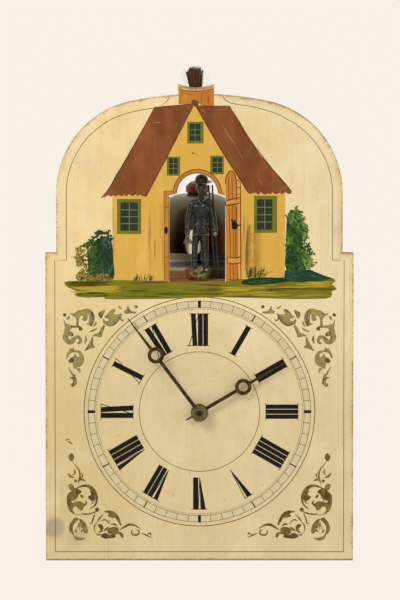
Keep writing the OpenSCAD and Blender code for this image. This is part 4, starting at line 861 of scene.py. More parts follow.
def worked(masses, strokes, beads, side):
    """Masses with a darker rim, strokes and round beads of a corner, on the left or mirrored to the right."""
    shapes = []
    for tone, points in masses:
        outline = smooth([(-side * x, z) for x, z in points])
        shapes.append((tone, outline))
        shapes.append((tone - RIM_DARKER, edges_of([(x, z, RIM_W) for x, z in outline], True)))
    shapes += [(tone, lined([(-side * x, z, SWELL * w) for x, z, w in points])) for tone, points in strokes]
    return shapes + [(tone, arc(-side * x, z, r, 0, 330, 11)) for tone, (x, z, r) in beads]


for side, name in ((-1, "left"), (1, "right")):
    upper = worked(UPPER_MASSES, UPPER_STROKES, UPPER_BEADS, side)
    painted("upper_%s_scroll" % name, upper, olive_wash, 0.05, 0.001)
    extra = LOWER_EXTRA if side < 0 else []
    lower = worked(LOWER_MASSES, extra + LOWER_STROKES, LOWER_BEADS, side)
    painted("lower_%s_scroll" % name, lower, brown_wash, 0.05, 0.001)

# House walls: the gable front and the two wings in ochre oil paint, cut in around the doorway, with brown
# shade dragged down the corners in thin upright strokes.
ochre = oil("wall_ochre", "b4822a", "deb452", "f0ca74", (1, 1, 0.25), 0, 0.12, "f3dfaa", 110)
EDGE, BAND, SILL = 0.5, 4.0, 256.3
jamb_left, jamb_right = door_x - door_half - EDGE, door_x + door_half + EDGE
ledge_left, ledge_right = (door_x - head_r - EDGE, head_z), (door_x + head_r + EDGE, head_z)
door_round = [(jamb_right, door_top + EDGE), ledge_right] + arc(door_x, head_z, head_r + EDGE, 4, 176, 30)
door_round += [ledge_left, (jamb_left, door_top + EDGE)]
front_wall = [(-5.8, 416.5), (-48.3, 332.7), (-46, 332.5), (-45.5, 257.4),
              (jamb_left, SILL)] + door_round[::-1]
front_wall += [(jamb_right, SILL), (42.7, 258.8), (42.5, 334.9), (46.3, 335.4), (32.8, 360.6), (14.5, 389.8),
               (-0.1, 414.5)]
wing_left = [(-79.2, 334.6), (-45.5, 334.6), (-45.2, 257.2), (-78.2, 257.2)]
wing_right = [(41.9, 336.9), (77.9, 336.9), (77.3, 260.1), (59.2, 259.5), (42.5, 258.8)]
painted("house_wings", [(0.6, wing_left), (0.52, wing_right)], ochre, 0.06)
painted("house_front", [(0.55, front_wall)], ochre, 0.09)
dice = random.Random(7)


def dab(x, z, length, width, turn, bend=0.0):
    """Leaf shaped dab of paint: edge pairs along a bent line, turn in degrees from the right."""
    a = math.radians(turn)
    path = []
    for t, w in ((-0.5, 0.1), (-0.25, 0.85), (0.05, 1.0), (0.3, 0.7), (0.5, 0.08)):
        along, off = t * length, bend * length * (0.25 - t * t)
        path.append((x + along * math.cos(a) - off * math.sin(a), z + along * math.sin(a) + off * math.cos(a),
                     width * w))
    return edges_of(path)


def glaze(name, colour, other, cover, stroke, turn=0.0, scale=160, fade=None):
    """Thin see through colour, in streaks along the pull of the brush, strongest at one side if it fades."""
    made, sockets, place = finish(name, Roughness=0.45, Specular_IOR_Level=0.25)
    streaks = noise(place, scale, stroke, 4.0, 0.6, (0, math.radians(turn), 0))
    cloud = noise(place, 60, detail=4.0, rough=0.6)
    alpha = step(streaks + (cloud - 0.5) * 0.5, 0.3, 0.7) * layer(place, "tone") * cover
    if fade:
        alpha = alpha * step(axes(place)[0] + (streaks - 0.5) * 0.012, *fade, 1.0, 0.0)
    lay(sockets, Base_Color=mix(step(cloud, 0.35, 0.7), ink(colour), ink(other)), Alpha=alpha,
        Normal=bump(streaks, 0.2, 0.0002))
    return made


shade = glaze("ochre_shade", "b98a42", "c4964e", 0.28, (1, 1, 0.06))
corner = glaze("wing_shade", "7c5216", "94681f", 0.95, (1, 1, 0.05), fade=(43.4 * MM, 60.2 * MM))
in_corner = [(43.1, 301.9), (50, 308), (59.2, 293.8), (59.2, 260.3), (42.9, 259.5)]
painted("wing_shade", [(1.0, smooth(in_corner))], corner, 0.105)
shades = []
for x0, x1, z0, z1, count in ((42.5, 45, 261.3, 334.4, 10), (-46.4, -44.3, 258.4, 331.5, 9),
                              (-79.1, -77.8, 258.4, 331.5, 5), (-44.3, -33.3, 258.4, 336.6, 14),
                              (38.5, 41.1, 259.3, 332.3, 7)):
    for i in range(count):
        length = (z1 - z0) * dice.uniform(0.3, 0.7)
        middle = dice.uniform(z0 + length / 2, z1 - length / 2)
        tone, x = dice.uniform(0.35, 0.8), dice.uniform(x0, x1)
        shades.append((tone, dab(x, middle, length, dice.uniform(0.9, 1.8), 90)))
painted("wall_shades", shades, shade, 0.11, 0.0003)

# Roofs: reddish brown slopes in oil paint with a toothed eave, under a thin streaky wash, with dark edges, a
# knob at the ridge and a few pale scratches.
roof = oil("roof_red", "64401f", "985a33", "a46c42", (1, 1, 0.35), 0, 0.05, "b98a5c", 45, 0.5)
left_slope = [(-89.2, 332.2), (-82.3, 340.5), (-75.9, 352.8), (-68.6, 364.2), (-59.5, 379.7), (-49, 398.9),
              (-40.7, 414.6), (-33, 415.4), (-20.2, 416.3), (-6.3, 417.7), (-5.8, 415.8), (-48.3, 333.3)]
left_teeth = [(-51.2, 333.6), (-54, 335.2), (-55.8, 333.5), (-57.6, 335.3), (-60.4, 333.7), (-64, 335.5),
              (-66.3, 333.5), (-67.9, 335.2), (-70.4, 333.5), (-73.6, 334.9), (-76.4, 333.4), (-78.2, 334.9),
              (-80.5, 333.1), (-82.8, 334.9), (-85, 333.4)]
right_slope = [(83.5, 336.1), (83.5, 338.6), (78.5, 345), (72.1, 352.3), (63.9, 361.5), (54.7, 371.5),
               (46, 385.2), (36.4, 401.7), (27.3, 415.8), (15.4, 415.6), (-1.9, 416.3), (-3, 414.6),
               (10.9, 389.8), (20.9, 373.3), (30.1, 359.6), (37.4, 347.8), (41.9, 339.5), (45.1, 335.7)]
right_teeth = [(51.1, 337), (53.3, 334.9), (55.6, 337.4), (59.3, 334.9), (62, 336.5), (64.3, 335.1),
               (66.1, 337.4), (69.3, 335.3), (73, 337), (74.8, 335.3), (77.6, 337.4), (80.8, 335.7)]
painted("house_roofs", [(0.5, left_slope + left_teeth), (0.52, right_slope + right_teeth)], roof, 0.14, 0.01)
slopes = (("left", left_slope, left_teeth, 29), ("right", right_slope, right_teeth, -34))
for name, slope, teeth, turn in slopes:
    wash = glaze("roof_wash_" + name, "745a28", "863e26", 0.55, (1, 1, 0.2), turn, 55)
    painted("roof_wash_" + name, [(0.8, slope + teeth)], wash, 0.17)
dark_red = oil("roof_lines", "2c160a", "54301a", "6f4a2a", wear=0.15, scale=200)
ridge = [(-7.6, 416.5), (-6.9, 420.5), (-5.2, 421.5), (-2.7, 420.8), (-0.4, 418.9), (-1.6, 415.2),
         (-3.7, 414.8), (-5.8, 416.3)]
edges = [[(-40.7, 414.5, 0.46), (-49, 398.7, 0.73), (-68.6, 364, 0.73), (-82.3, 340.3, 0.73),
          (-88.9, 332.4, 0.46)],
         [(-40.7, 414.6, 0.46), (-23.8, 416, 0.64), (-6.9, 417.4, 0.64)],
         [(-5.9, 415.4, 0.64), (-27, 374.3, 0.82), (-48.2, 333.6, 0.64)],
         [(-2.5, 414.5, 0.64), (20.9, 373.7, 0.82), (37.4, 348.1, 0.82), (44.9, 336.1, 0.55)],
         [(-1.5, 416.1, 0.46), (14.5, 415.6, 0.64), (27.3, 415.7, 0.46)],
         [(27.3, 415.6, 0.46), (46, 385, 0.73), (63.9, 361.3, 0.73), (83.2, 338.2, 0.64)]]
painted("roof_edges", [(0.5, lined(line)) for line in edges] + [(0.95, ridge)], dark_red, 0.22, 0.002)
pale = oil("roof_scratches", "9a6a4a", "b98d6c", "d3b294", wear=0.3, scale=300)
scratches = [[(20.7, 398.5, 0.18), (26.4, 389.3, 0.55), (32.8, 379.7, 0.27)],
             [(1.7, 413.1, 0.18), (3.4, 410.8, 0.55), (4.5, 409.4, 0.18)],
             [(54, 349.1, 0.18), (55.8, 345.8, 0.46), (57.3, 343.4, 0.18)],
             [(32.8, 378.8, 0.18), (36.4, 373.3, 0.27), (39.2, 366, 0.18)],
             [(-40.3, 401.2, 0.27), (-37.5, 400.6, 0.55), (-34.8, 401.3, 0.27)]]
painted("roof_scratches", [(0.5, lined(line)) for line in scratches], pale, 0.25)

# Chimney face: orange ochre with a lit left side, painted on the part of the shield that stands up above the
# arch, under a pale worn top edge with a thin brown wash.
brick = oil("chimney_ochre", "965419", "c27c33", "d9a258", (1, 1, 0.3), 0, 0.12, "f0dca8", 110)
stack = [(-19.1, 417.4), (-18.7, 424.5), (-18.5, 431.8), (-11.1, 430), (-2.8, 429.4), (5.4, 430),
         (12.9, 431.8), (13.1, 424.5), (13.2, 415.7), (5.4, 415.9), (0.8, 416.7), (-3.3, 421.3),
         (-6.7, 419.8), (-7.4, 417.4)]
lit = [(0.72, dab(-13.3, 421.8, 11, 5.0, 90)), (0.66, dab(-8.8, 422.2, 10, 2.6, 88)),
       (0.25, dab(8.1, 422.2, 10, 1.6, 91)), (0.3, dab(1.7, 422.7, 9, 1.2, 88)),
       (0.66, dab(10.7, 421.3, 9, 1.6, 90))]
painted("chimney_face", [(0.5, stack)] + lit, brick, 0.1, 0.01)
rim = [(-18.4, 434), (-11.1, 432.5), (-2.8, 431.8), (5.4, 432.5), (12.5, 434), (12.5, 431.3), (5.4, 429.4),
       (-2.8, 428.9), (-11.1, 429.4), (-18.4, 431.3)]
rim_wash = glaze("rim_wash", "a8702e", "c4924e", 0.6, (1, 1, 0.5))
painted("chimney_rim", [(0.9, rim)], rim_wash, 0.08)
under_rim = [(-18.4, 431.3, 0.37), (-11.1, 429.5, 0.64), (-2.8, 428.9, 0.64), (5.4, 429.5, 0.64),
             (12.7, 431.3, 0.37)]
lit_side = [(12.6, 429.1, 0.27), (12.8, 423.6, 0.55), (13, 416.3, 0.37)]
painted("chimney_lines", [(0.05, lined(under_rim)), (0.75, lined(lit_side))], brick, 0.16)

# Windows: green frames with a dark inner edge, dark panes and pale glazing bars, in oil paint over the ochre
# walls. Each is two panes wide.
frame_paint = oil("window_green", "2e3410", "6f742a", "9c9744", (1, 1, 0.3), 0, 0.1, "d8c48a", 160)
pane_paint = oil("window_dark", "151d12", "2b3424", "46503c", (1, 1, 0.5), 20, 0.05, "8f8a5a", 120, 0.35)
bar_paint = oil("glazing_pale", "4c5a30", "78865a", "98a67c", wear=0.15, scale=220)
casings, panes, bars = [], [], []


def block(x0, z0, x1, z1):
    """Upright rectangle from its lower left to its upper right corner."""
    return [(x0, z0), (x1, z0), (x1, z1), (x0, z1)]


def window(left_top, right_bottom, glass_top, glass_bottom, down, bar):
    """Casing, dark glass and the bars between its panes, two across."""
    (x0, z1), (x1, z0) = left_top, right_bottom
    casings.append((0.55, block(x0, z0, x1, z1)))
    casings.append((0.2, edges_of([(x, z, 0.35) for x, z in block(x0, z0, x1, z1)], True)))
    (x0, z1), (x1, z0) = glass_top, glass_bottom
    casings.append((0.05, block(x0 - 0.5, z0 - 0.3, x1 + 0.3, z1 + 0.5)))
    panes.append((0.5, block(x0, z0, x1, z1)))
    middle = (x0 + x1) / 2
    bars.append((0.6, block(middle - bar, z0, middle + bar, z1)))
    for i in range(1, down):
        z = z0 + (z1 - z0) * i / down
        bars.append((0.55, block(x0, z - bar, x1, z + bar)))


window((-74.6, 331), (-53.1, 299.4), (-71.2, 327.5), (-56.1, 302.5), 4, 0.33)
window((49.8, 333.8), (70.1, 300.5), (52.7, 330.3), (65.7, 303.4), 4, 0.33)
window((-10.9, 401.2), (3.4, 381.9), (-8.5, 399.1), (0.5, 384.5), 3, 0.24)
window((-29.3, 369.5), (-17.8, 352.5), (-27, 367.7), (-20.2, 354.5), 3, 0.24)
window((10.1, 370.4), (21.8, 353.8), (12.5, 368.4), (20.2, 355.8), 3, 0.24)
painted("window_casings", casings, frame_paint, 0.16, 0.002)
painted("window_panes", panes, pane_paint, 0.2)
painted("glazing_bars", bars, bar_paint, 0.23, 0.001)

# Doorway trim: an orange brown arch and jamb painted around the opening. Beside it stands an open plank door,
# drawn with dark red lines, with two straps and a black lock.
trim = oil("arch_brown", "84511c", "bd8138", "d8a458", (1, 1, 0.3), 0, 0.1, "e6cf9a", 120)
plank = oil("door_orange", "9a5a1c", "c88437", "dfaa5a", (1, 1, 0.06), 0, 0.1, "f0d49a", 190)
red_line = oil("door_lines", "4a1e0a", "7a3a16", "a05a2a", wear=0.1, scale=240)
arch_band = arc(door_x, head_z, head_r + BAND, 0, 180, 36) + arc(door_x, head_z, head_r + EDGE, 178, 2, 36)
jamb = [(-32.3, 338.1), (jamb_left + 0.02, door_top + 2.6), (jamb_left, door_top), (jamb_left, SILL),
        (-32, 256.4)]
shelf = [(-32.8, 338.4), (-24.7, 338.4), ledge_left, (jamb_left, door_top + EDGE), (-32.3, 336.4)]
shelf_right = [(jamb_right, door_top + EDGE), ledge_right, (door_x + head_r + 3.9, head_z), (21.8, 337.9),
               (22.6, 334.9)]
painted("doorway_trim", [(0.5, arch_band), (0.6, jamb), (0.55, shelf), (0.35, shelf_right)], trim, 0.13, 0.01)
door_leaf = [(jamb_right, SILL), (37.4, 257.7), (37.1, 345.5), (33.8, 347.6), (32, 353.7), (28.7, 356.9),
             (25.5, 354.2), (23.5, 347.6), (jamb_right, 344.5)]
thickness = [(34.1, 347.1), (37.1, 345.3), (37.5, 257.7), (34.4, 257.2)]
painted("open_door", [(0.5, door_leaf), (0.9, thickness)], plank, 0.17, 0.01)
lines = [[(23.9, 344.5, 0.61), (23.7, 348.6, 0.91), (25.7, 354.2, 0.91), (28.7, 356.7, 0.91),
          (32, 353.7, 0.91), (33.4, 347.6, 0.91)],
         [(26.7, 352.6, 0.3), (26.5, 342.5, 0.61), (26.8, 330.8, 0.41)],
         [(29.7, 353.7, 0.3), (29.6, 342.5, 0.61), (29.9, 330.8, 0.41)],
         [(33.4, 347.6, 0.71), (33.8, 338.4, 0.81), (34.1, 330.3, 0.71)],
         [(26.9, 325.2, 0.41), (27.5, 301.9, 0.61), (28.1, 278, 0.41)],
         [(30, 325.2, 0.41), (30.6, 301.9, 0.51), (31.2, 278, 0.41)],
         [(33.8, 325.2, 0.71), (34, 301.9, 0.81), (34.2, 277.5, 0.71)],
         [(27.5, 271.9, 0.41), (27.7, 265.4, 0.61), (27.9, 257.7, 0.41)],
         [(30.6, 271.9, 0.41), (30.8, 265.4, 0.61), (31, 257.4, 0.41)],
         [(34.2, 271.9, 0.71), (34.4, 265.4, 0.81), (34.6, 257.2, 0.61)],
         [(37.1, 346.6, 0.61), (37.3, 318.1, 0.91), (37.5, 281.6, 0.91), (37.7, 258.8, 0.61)],
         [(32.3, 325.2, 0.3), (32.5, 306, 0.41), (32.8, 278, 0.3)],
         [(25.3, 258.2, 0.41), (29.7, 257.2, 0.71), (37.4, 258, 0.51)],
         [(33.4, 347.4, 0.41), (35.3, 348.6, 0.71), (37.1, 345.7, 0.51)],
         [(33.6, 341.5, 0.51), (35.3, 341.7, 0.71), (37.1, 340.7, 0.51)],
         [(34.3, 335.2, 0.3), (35.8, 335.6, 0.51), (37.1, 336, 0.3)]]
straps = [[(23.5, 329.1, 0.51), (26.7, 330.3, 1.22), (32.8, 331.5, 1.02), (36.9, 332.8, 0.71)],
          [(23.5, 325.4, 0.51), (26.7, 325.7, 1.12), (32.8, 326.5, 1.12), (36.9, 327.7, 0.61)],
          [(23.7, 329.5, 0.71), (23.5, 327.3, 0.81), (23.7, 325.2, 0.61)],
          [(25.1, 278.5, 0.61), (29.7, 277.5, 1.12), (34.8, 277.7, 1.02), (37.4, 279, 0.71)],
          [(25.5, 273, 0.61), (29.7, 271.9, 1.12), (34.8, 272.3, 1.02), (37.4, 273.7, 0.71)],
          [(25.3, 278.7, 0.61), (25.1, 276, 0.81), (25.5, 272.7, 0.61)]]
strap_faces = [[(23.7, 329.3), (36.9, 332.5), (36.9, 327.9), (23.7, 325.6)],
               [(25.3, 278), (37.3, 278.5), (37.3, 273.7), (25.7, 272.7)]]
painted("door_straps", [(0.75, points) for points in strap_faces], plank, 0.22, 0.004)
painted("door_lines", [(0.5, lined(points)) for points in lines + straps], red_line, 0.25, 0.001)
arch_lines = [[(x, z, 0.7) for x, z in arc(door_x, head_z, head_r + BAND, 2, 178, 40)],
              [(x, z, 0.45) for x, z in arc(door_x, head_z, head_r + 0.9, 6, 174, 40)]]
jamb_lines = [[(-32.3, 337.9, 0.51), (-32.1, 297, 0.61), (-32, 256.6, 0.41)],
              [(-32.6, 338.1, 0.41), (-28.7, 338.3, 0.51), (-24.7, 338.1, 0.41)],
              [(-32, 323.9, 0.41), (-29.7, 323.8, 0.71), (-27.7, 323.9, 0.41)],
              [(-32, 278.2, 0.41), (-29.7, 278.1, 0.71), (-27.7, 278.2, 0.41)],
              [(-28.1, 333.6, 0.41), (-27.8, 297, 0.61), (-27.7, 256.9, 0.41)]]
trim_dark = oil("trim_lines", "43230a", "7c4818", "a0662c", wear=0.1, scale=220)
trim_strokes = [(0.4, edges_of(points)) for points in arch_lines]
trim_strokes += [(0.5, lined(points)) for points in jamb_lines]
painted("trim_lines", trim_strokes, trim_dark, 0.2, 0.002)
LATCH_X, LATCH_Z = -30.2, 302.6
latch = [(LATCH_X + 1.5 * x, LATCH_Z + 3.4 * z) for x, z in arc(0, 0, 1.0, 0, 345, 23)]
lock = [[(29.5, 309.5), (31.8, 310.2), (34.4, 309), (34.8, 306), (33.3, 303.9), (29.7, 304.1)],
        [(28.7, 312.5), (30, 312.9), (30.8, 311), (32.3, 312.4), (33, 311), (31.6, 309), (29.7, 309.2)]]
bolt = lined([(33.8, 307.5, 1.42), (36, 307.3, 1.02), (37.9, 307.5, 1.22)])
door_iron = [(0.35, latch)] + [(0.35, smooth(points)) for points in lock] + [(0.4, bolt)]
painted("door_lock", door_iron, black, 0.3, 0.002)
nails = [(0.4, -5.9, 372.9, 0.75), (0.5, -3.7, 372.4, 0.4), (0.5, -6.9, 373.9, 0.35)]
painted("nail_holes", [(tone, arc(x, z, r, 0, 330, 11)) for tone, x, z, r in nails], black, 0.12)

# Garden: a strip of meadow pulled sideways with a broad brush, its ends left ragged, a blue green mound and a
# grass bank on the right, tufts of grass and two bushes dabbed in leaf by leaf.
meadow = oil("meadow_olive", "48490a", "807b1f", "bba53a", (0.08, 1, 1), 0, 0.05, "dcc894", 230)
teal = oil("mound_teal", "142c1c", "244a34", "3f6a58", (0.2, 1, 1), 10, 0.05, "5c7a58", 170)
earth = [(-122.9, 254.9), (-120.1, 256.2), (-105.9, 256.5), (-78.4, 257.2), (-45, 256.9),
         (jamb_left, SILL + 0.2), (jamb_left, SILL - 1.4), (jamb_right, SILL - 1.4),
         (jamb_right, SILL - 0.2), (38.9, 258.2), (59.2, 258.8), (77.5, 259.8), (105.9, 260.8),
         (122.1, 258.8), (123.6, 256.2), (120.1, 253.2), (124.3, 250.1), (124.7, 248.6), (120.1, 247.1),
         (120.6, 244), (119.1, 241.5), (114, 240.2), (85.6, 239.8), (45, 241), (20.6, 241.8), (-34.8, 240),
         (-75.4, 239.6), (-85.6, 240), (-87.1, 241.7), (-100.8, 241), (-110.9, 242.2), (-114.2, 244.2),
         (-109.9, 246.3), (-119, 250.3), (-122.3, 252.9)]
painted("garden_ground", [(0.5, earth)], meadow, 0.1)
pulls = []


def pulled(count, x0, x1, z0, z1, tones, long=(14, 40), wide=(0.8, 2.2)):
    """Long flat strokes across a stretch of the meadow, clear of the doorway."""
    made = 0
    while made < count:
        length = dice.uniform(*long)
        x, z = dice.uniform(x0, x1), dice.uniform(z0, z1)
        left, right = x - length / 2, x + length / 2
        at_door = z > SILL - 3.0 and right > jamb_left - 1 and left < jamb_right + 1
        if left < x0 - 2 or right > x1 + 2 or at_door:
            continue
        made += 1
        tone = dice.uniform(*tones)
        width, turn, bend = dice.uniform(*wide), dice.gauss(0, 1.2), dice.uniform(-0.03, 0.03)
        pulls.append((tone, dab(x, z, length, width, turn, bend)))


pulled(40, -83.5, 45, 241, 255.2, (0.1, 0.62))
pulled(40, 14.5, 117.1, 241.4, 253.7, (0.25, 0.8))
pulled(14, -120.1, -79.5, 252.2, 255.6, (-0.1, 0.2))
pulled(26, -116.1, -71.3, 246.3, 251.1, (0.8, 1.15))
pulled(16, -110.9, -83.5, 242.2, 245.5, (-0.1, 0.35), (8, 22))
pulled(16, 55.1, 123.3, 247.9, 249.9, (-0.1, 0.2), (8, 26), (0.5, 1.4))
pulled(12, 85.6, 122.1, 251.1, 255.7, (0.9, 1.2), (8, 24), (0.5, 1.4))
pulled(12, 14.5, 67.3, 243, 251.1, (0.9, 1.1), (10, 30), (0.5, 1.2))
painted("meadow_strokes", pulls, meadow, 0.13, 0.0006)


def combed(count, tones, corners, lengths, wide, lean):
    """Short strokes scattered between an upper and a lower line, which are given by their ends."""
    marks = []
    for i in range(count):
        tone, along, down = dice.uniform(*tones), dice.random(), dice.random()
        start, end, low, high = corners
        first = [a + (b - a) * along for a, b in zip(start, end)]
        last = [a + (b - a) * along for a, b in zip(low, high)]
        x, z = [a + (b - a) * down for a, b in zip(first, last)]
        marks.append((tone, dab(x, z, dice.uniform(*lengths), dice.uniform(*wide), dice.gauss(*lean))))
    return marks


mound = [(75.9, 258.8), (76.9, 259.8), (77.7, 265.9), (87.6, 267.1), (100.8, 266.6), (110.9, 262.3),
         (121.1, 258.8), (116, 257.2), (97.8, 255), (79.5, 256)]
hill = combed(80, (-0.1, 0.85), ((81.5, 264.8), (103.8, 262.8), (79.5, 256.7), (112, 258.8)), (5, 14),
              (0.5, 1.3), (-6, 8))
painted("mound", [(0.3, mound)] + hill, teal, 0.18, 0.0008)
green = oil("leaf_green", "122c14", "3a6428", "84a04a", (1, 1, 0.4), 10, 0.03, "b0a050", 240, broken=0.4)
olive = oil("leaf_olive", "463f14", "877c35", "b8a958", (1, 1, 0.4), 10, 0.1, "c8b880", 240, broken=0.5)
blue = oil("leaf_teal", "12281a", "2a4830", "6c8f7c", (1, 1, 0.3), 0, 0.03, "7a9a90", 240, broken=0.4)
bank = [(38.1, 256.2), (45, 258.8), (57.2, 259.8), (69.3, 259.5), (78, 259.8), (83.5, 256.2), (79.5, 255.4),
        (62.2, 253.2), (48, 252.4), (38.9, 253.7)]
turf = combed(50, (-0.1, 0.4), ((40.9, 256.7), (79.5, 258.8), (40.9, 254.2), (79.5, 256.4)), (5, 12),
              (0.5, 1.2), (3, 8))
painted("grass_bank", [(0.12, bank)] + turf, green, 0.21, 0.0005)
blades = []
TUFTS = [(-60.2, -41.9, 255.9, 257.4, 26, (0.0, 0.35), (3, 7), 90),
         (44, 60.2, 258.8, 260.8, 34, (0.0, 0.45), (5, 11), 84),
         (-28.7, -18.6, 241.2, 245.3, 18, (0.6, 0.75), (2, 4), 70),
         (63.2, 80.5, 245.9, 249.1, 16, (0.0, 0.15), (1.2, 2.4), 60)]
for x0, x1, z0, z1, count, tones, lengths, lean in TUFTS:
    for i in range(count):
        length, turn = dice.uniform(*lengths), lean + dice.gauss(0, 26)
        x, z = dice.uniform(x0, x1), dice.uniform(z0, z1)
        tone, width, bend = dice.uniform(*tones), dice.uniform(0.25, 0.55), dice.uniform(-0.25, 0.25)
        x += 0.5 * length * math.cos(math.radians(turn))
        z += 0.5 * length * math.sin(math.radians(turn))
        blades.append((tone, dab(x, z, length, width, turn, bend)))
painted("grass_blades", blades, green, 0.3, 0.0006)


def inside(x, z, outline):
    """Whether a point lies in an outline."""
    found = False
    for (ax, az), (bx, bz) in zip(outline, outline[1:] + outline[:1]):
        if (az > z) != (bz > z) and x < (bx - ax) * (z - az) / (bz - az) + ax:
            found = not found
    return found


def stippled(outline, count, tones, lengths=(1.6, 3.6), lean=60, spread=45, wide=(0.9, 1.7)):
    """Dabs scattered inside an outline, light and dark in clumps."""
    xs, zs, marks = [p[0] for p in outline], [p[1] for p in outline], []
    while len(marks) < count:
        x, z = dice.uniform(min(xs), max(xs)), dice.uniform(min(zs), max(zs))
        if inside(x, z, outline):
            clump = 0.5 + 0.6 * space_noise.noise((x * 0.22, z * 0.22, count * 0.1)) + dice.gauss(0, 0.16)
            tone = tones[0] + (tones[1] - tones[0]) * clump
            length, width, turn = dice.uniform(*lengths), dice.uniform(*wide), lean + dice.gauss(0, spread)
            marks.append((tone, dab(x, z, length, width, turn, dice.uniform(-0.3, 0.3))))
    return marks


def leaf(x, z, tones, strays=(0.9, 0.9), lengths=(1.6, 3.2), wide=(0.8, 1.5)):
    """One leaf near a place, turned any way."""
    tone = dice.uniform(*tones)
    x, z = x + dice.gauss(0, strays[0]), z + dice.gauss(0, strays[1])
    return tone, dab(x, z, dice.uniform(*lengths), dice.uniform(*wide), dice.uniform(0, 180))


def fringe(points, count, tones):
    """Leaves that stand out along a line of places."""
    marks = []
    for (ax, az), (bx, bz) in zip(points, points[1:]):
        for k in range(count):
            t = dice.random()
            marks.append(leaf(ax + (bx - ax) * t, az + (bz - az) * t, tones))
    return marks


def sprigs(places, count, *kind):
    """A few leaves at each of several places."""
    return [leaf(x, z, *kind) for x, z in places for k in range(count)]


bush_left = [(-100.8, 282.8), (-98.2, 288.4), (-94.7, 293), (-91.1, 295.5), (-87.1, 297), (-82.5, 296),
             (-79.3, 290.4), (-78.4, 276.7), (-78.4, 257.9), (-95.7, 257.6), (-100.3, 262.5), (-101.3, 272.7)]
bush_right = [(79.5, 314.1), (82.7, 318.1), (86.1, 320.7), (89.6, 317.6), (92.2, 312), (93.7, 303.9),
              (93.7, 293.8), (94.2, 287.7), (96.7, 279.6), (98.3, 272.5), (96.2, 266.9), (79, 265.9),
              (78.5, 287.7)]
bush_side = [(-109.6, 280.4), (-111.2, 274.2), (-106.5, 266.6), (-111.2, 261.9), (-109.6, 257.3),
             (-81.8, 257), (-82.7, 261.9), (-91.1, 262.7), (-97.3, 260.4), (-100.4, 265), (-101.9, 272.7),
             (-100.4, 282), (-95.7, 288.1), (-101.9, 289.7), (-106.5, 286.6)]
bush_foot = [(-111.2, 262.8), (-106.1, 264.6), (-98.7, 261.9), (-91.1, 263.3), (-82.7, 262.4), (-81.4, 257),
             (-109.6, 257)]
between = [(-102.4, 290.2), (-96.9, 294.8), (-92.4, 289.3), (-92.8, 272.9), (-94.2, 261.9), (-99.7, 261.9),
           (-101.5, 272.9)]
painted("bush_bodies", [(0.15, smooth(bush_left)), (0.32, smooth(bush_right))], green, 0.2)
teal_leaves = stippled(bush_left, 170, (-0.1, 0.75), (2.5, 6), 88, 12, (0.8, 1.6))
teal_leaves += stippled([(-89.6, 297), (-82.5, 297.5), (-80, 290.9), (-82.5, 282.8), (-88.6, 286.9)],
                        46, (0.3, 0.8), (2, 5), 88, 14, (0.6, 1.3))
teal_leaves += stippled([(79.5, 288.7), (94.7, 290.7), (95.7, 281.6), (89.6, 267.4), (79.5, 266.9)],
                        30, (-0.1, 0.4), (2, 4), 80, 30)
teal_leaves += stippled([(80.5, 316.1), (86.1, 320.7), (90.1, 317.1), (88.6, 310), (80.5, 308)],
                        30, (0.5, 1.1), (1.4, 3))
painted("teal_leaves", teal_leaves, blue, 0.23, 0.0004)
leaves = stippled(bush_right, 260, (0.0, 0.85), (1.8, 4.2), 70, 35, (1.0, 2.0))
leaves += fringe([(79.5, 314.1), (82.7, 318.6), (86.8, 322), (90.4, 318.6), (92.5, 314.1), (94.1, 304.9),
                  (94.3, 295.8), (95.3, 288.7), (97.8, 279.6), (99.4, 272.5), (98.4, 267.4)], 14, (0.1, 0.9))
leaves += fringe([(-103.3, 286.9), (-99.6, 290.9), (-95.7, 295.5), (-91.1, 300.1), (-87.6, 300.1),
                  (-82.5, 300.1), (-79.3, 293)], 12, (-0.1, 0.35))
CLUMPS = [([(79.5, 298.8), (84.6, 298.8), (84.6, 290.7), (79.5, 289.7)], 20, (0.5, 1.0)),
          ([(89.6, 283.6), (99.8, 284.6), (102.8, 275.5), (91.7, 274.5)], 36, (0.5, 1.1)),
          ([(95.7, 274.5), (102.8, 274.5), (102.8, 267.4), (95.7, 266.9)], 24, (0.8, 1.2)),
          ([(92.7, 315.1), (95.7, 315.1), (98.8, 301.9), (95.7, 293.8)], 18, (0.4, 1.0)),
          ([(81.5, 316.1), (86.1, 319.7), (90.1, 316.1), (89.6, 306), (81, 304.9)], 18, (0.5, 1.1)),
          ([(79.5, 288.7), (89.6, 288.7), (88.6, 267.4), (79.5, 266.9)], 60, (-0.1, 0.35))]
for spot, count, tones in CLUMPS:
    leaves += stippled(spot, count, tones)
leaves += stippled(between, 80, (0.1, 0.75), (1.8, 3.8))
leaves += sprigs([(98.7, 288.2), (100.3, 280.8), (95.7, 301.9), (98.8, 284.6)], 10, (0.0, 0.7), (1.2, 1.2),
                 (1.6, 3.0))
leaves += sprigs([(-91.6, 302.1), (-88.8, 300.1), (-82.3, 301.1), (-100.8, 294), (-104.6, 288.9),
                  (-93.2, 300.1), (103.8, 280.6), (105.7, 272.5), (87.6, 324), (92.7, 320.2)], 3, (0.05, 0.5),
                  (0.7, 0.7), (1.5, 2.8), (0.8, 1.4))
side_leaves = [(0.4, smooth(bush_foot))] + stippled(smooth(bush_foot), 90, (-0.3, 1.2), (1.6, 3.4))
side_leaves += stippled(smooth(bush_side), 120, (-0.3, 1.0), (1.6, 3.2), 60, 60, (1.2, 2.0))
side_leaves += stippled(between, 40, (-0.3, 0.4), (1.6, 3.4))
side_leaves += sprigs([(93.9, 312.8), (95.4, 306.4), (96.5, 297.3), (101.3, 274), (101.9, 271.4)],
                      9, (0.0, 0.9), (1.2, 1.3), (1.6, 3.0))
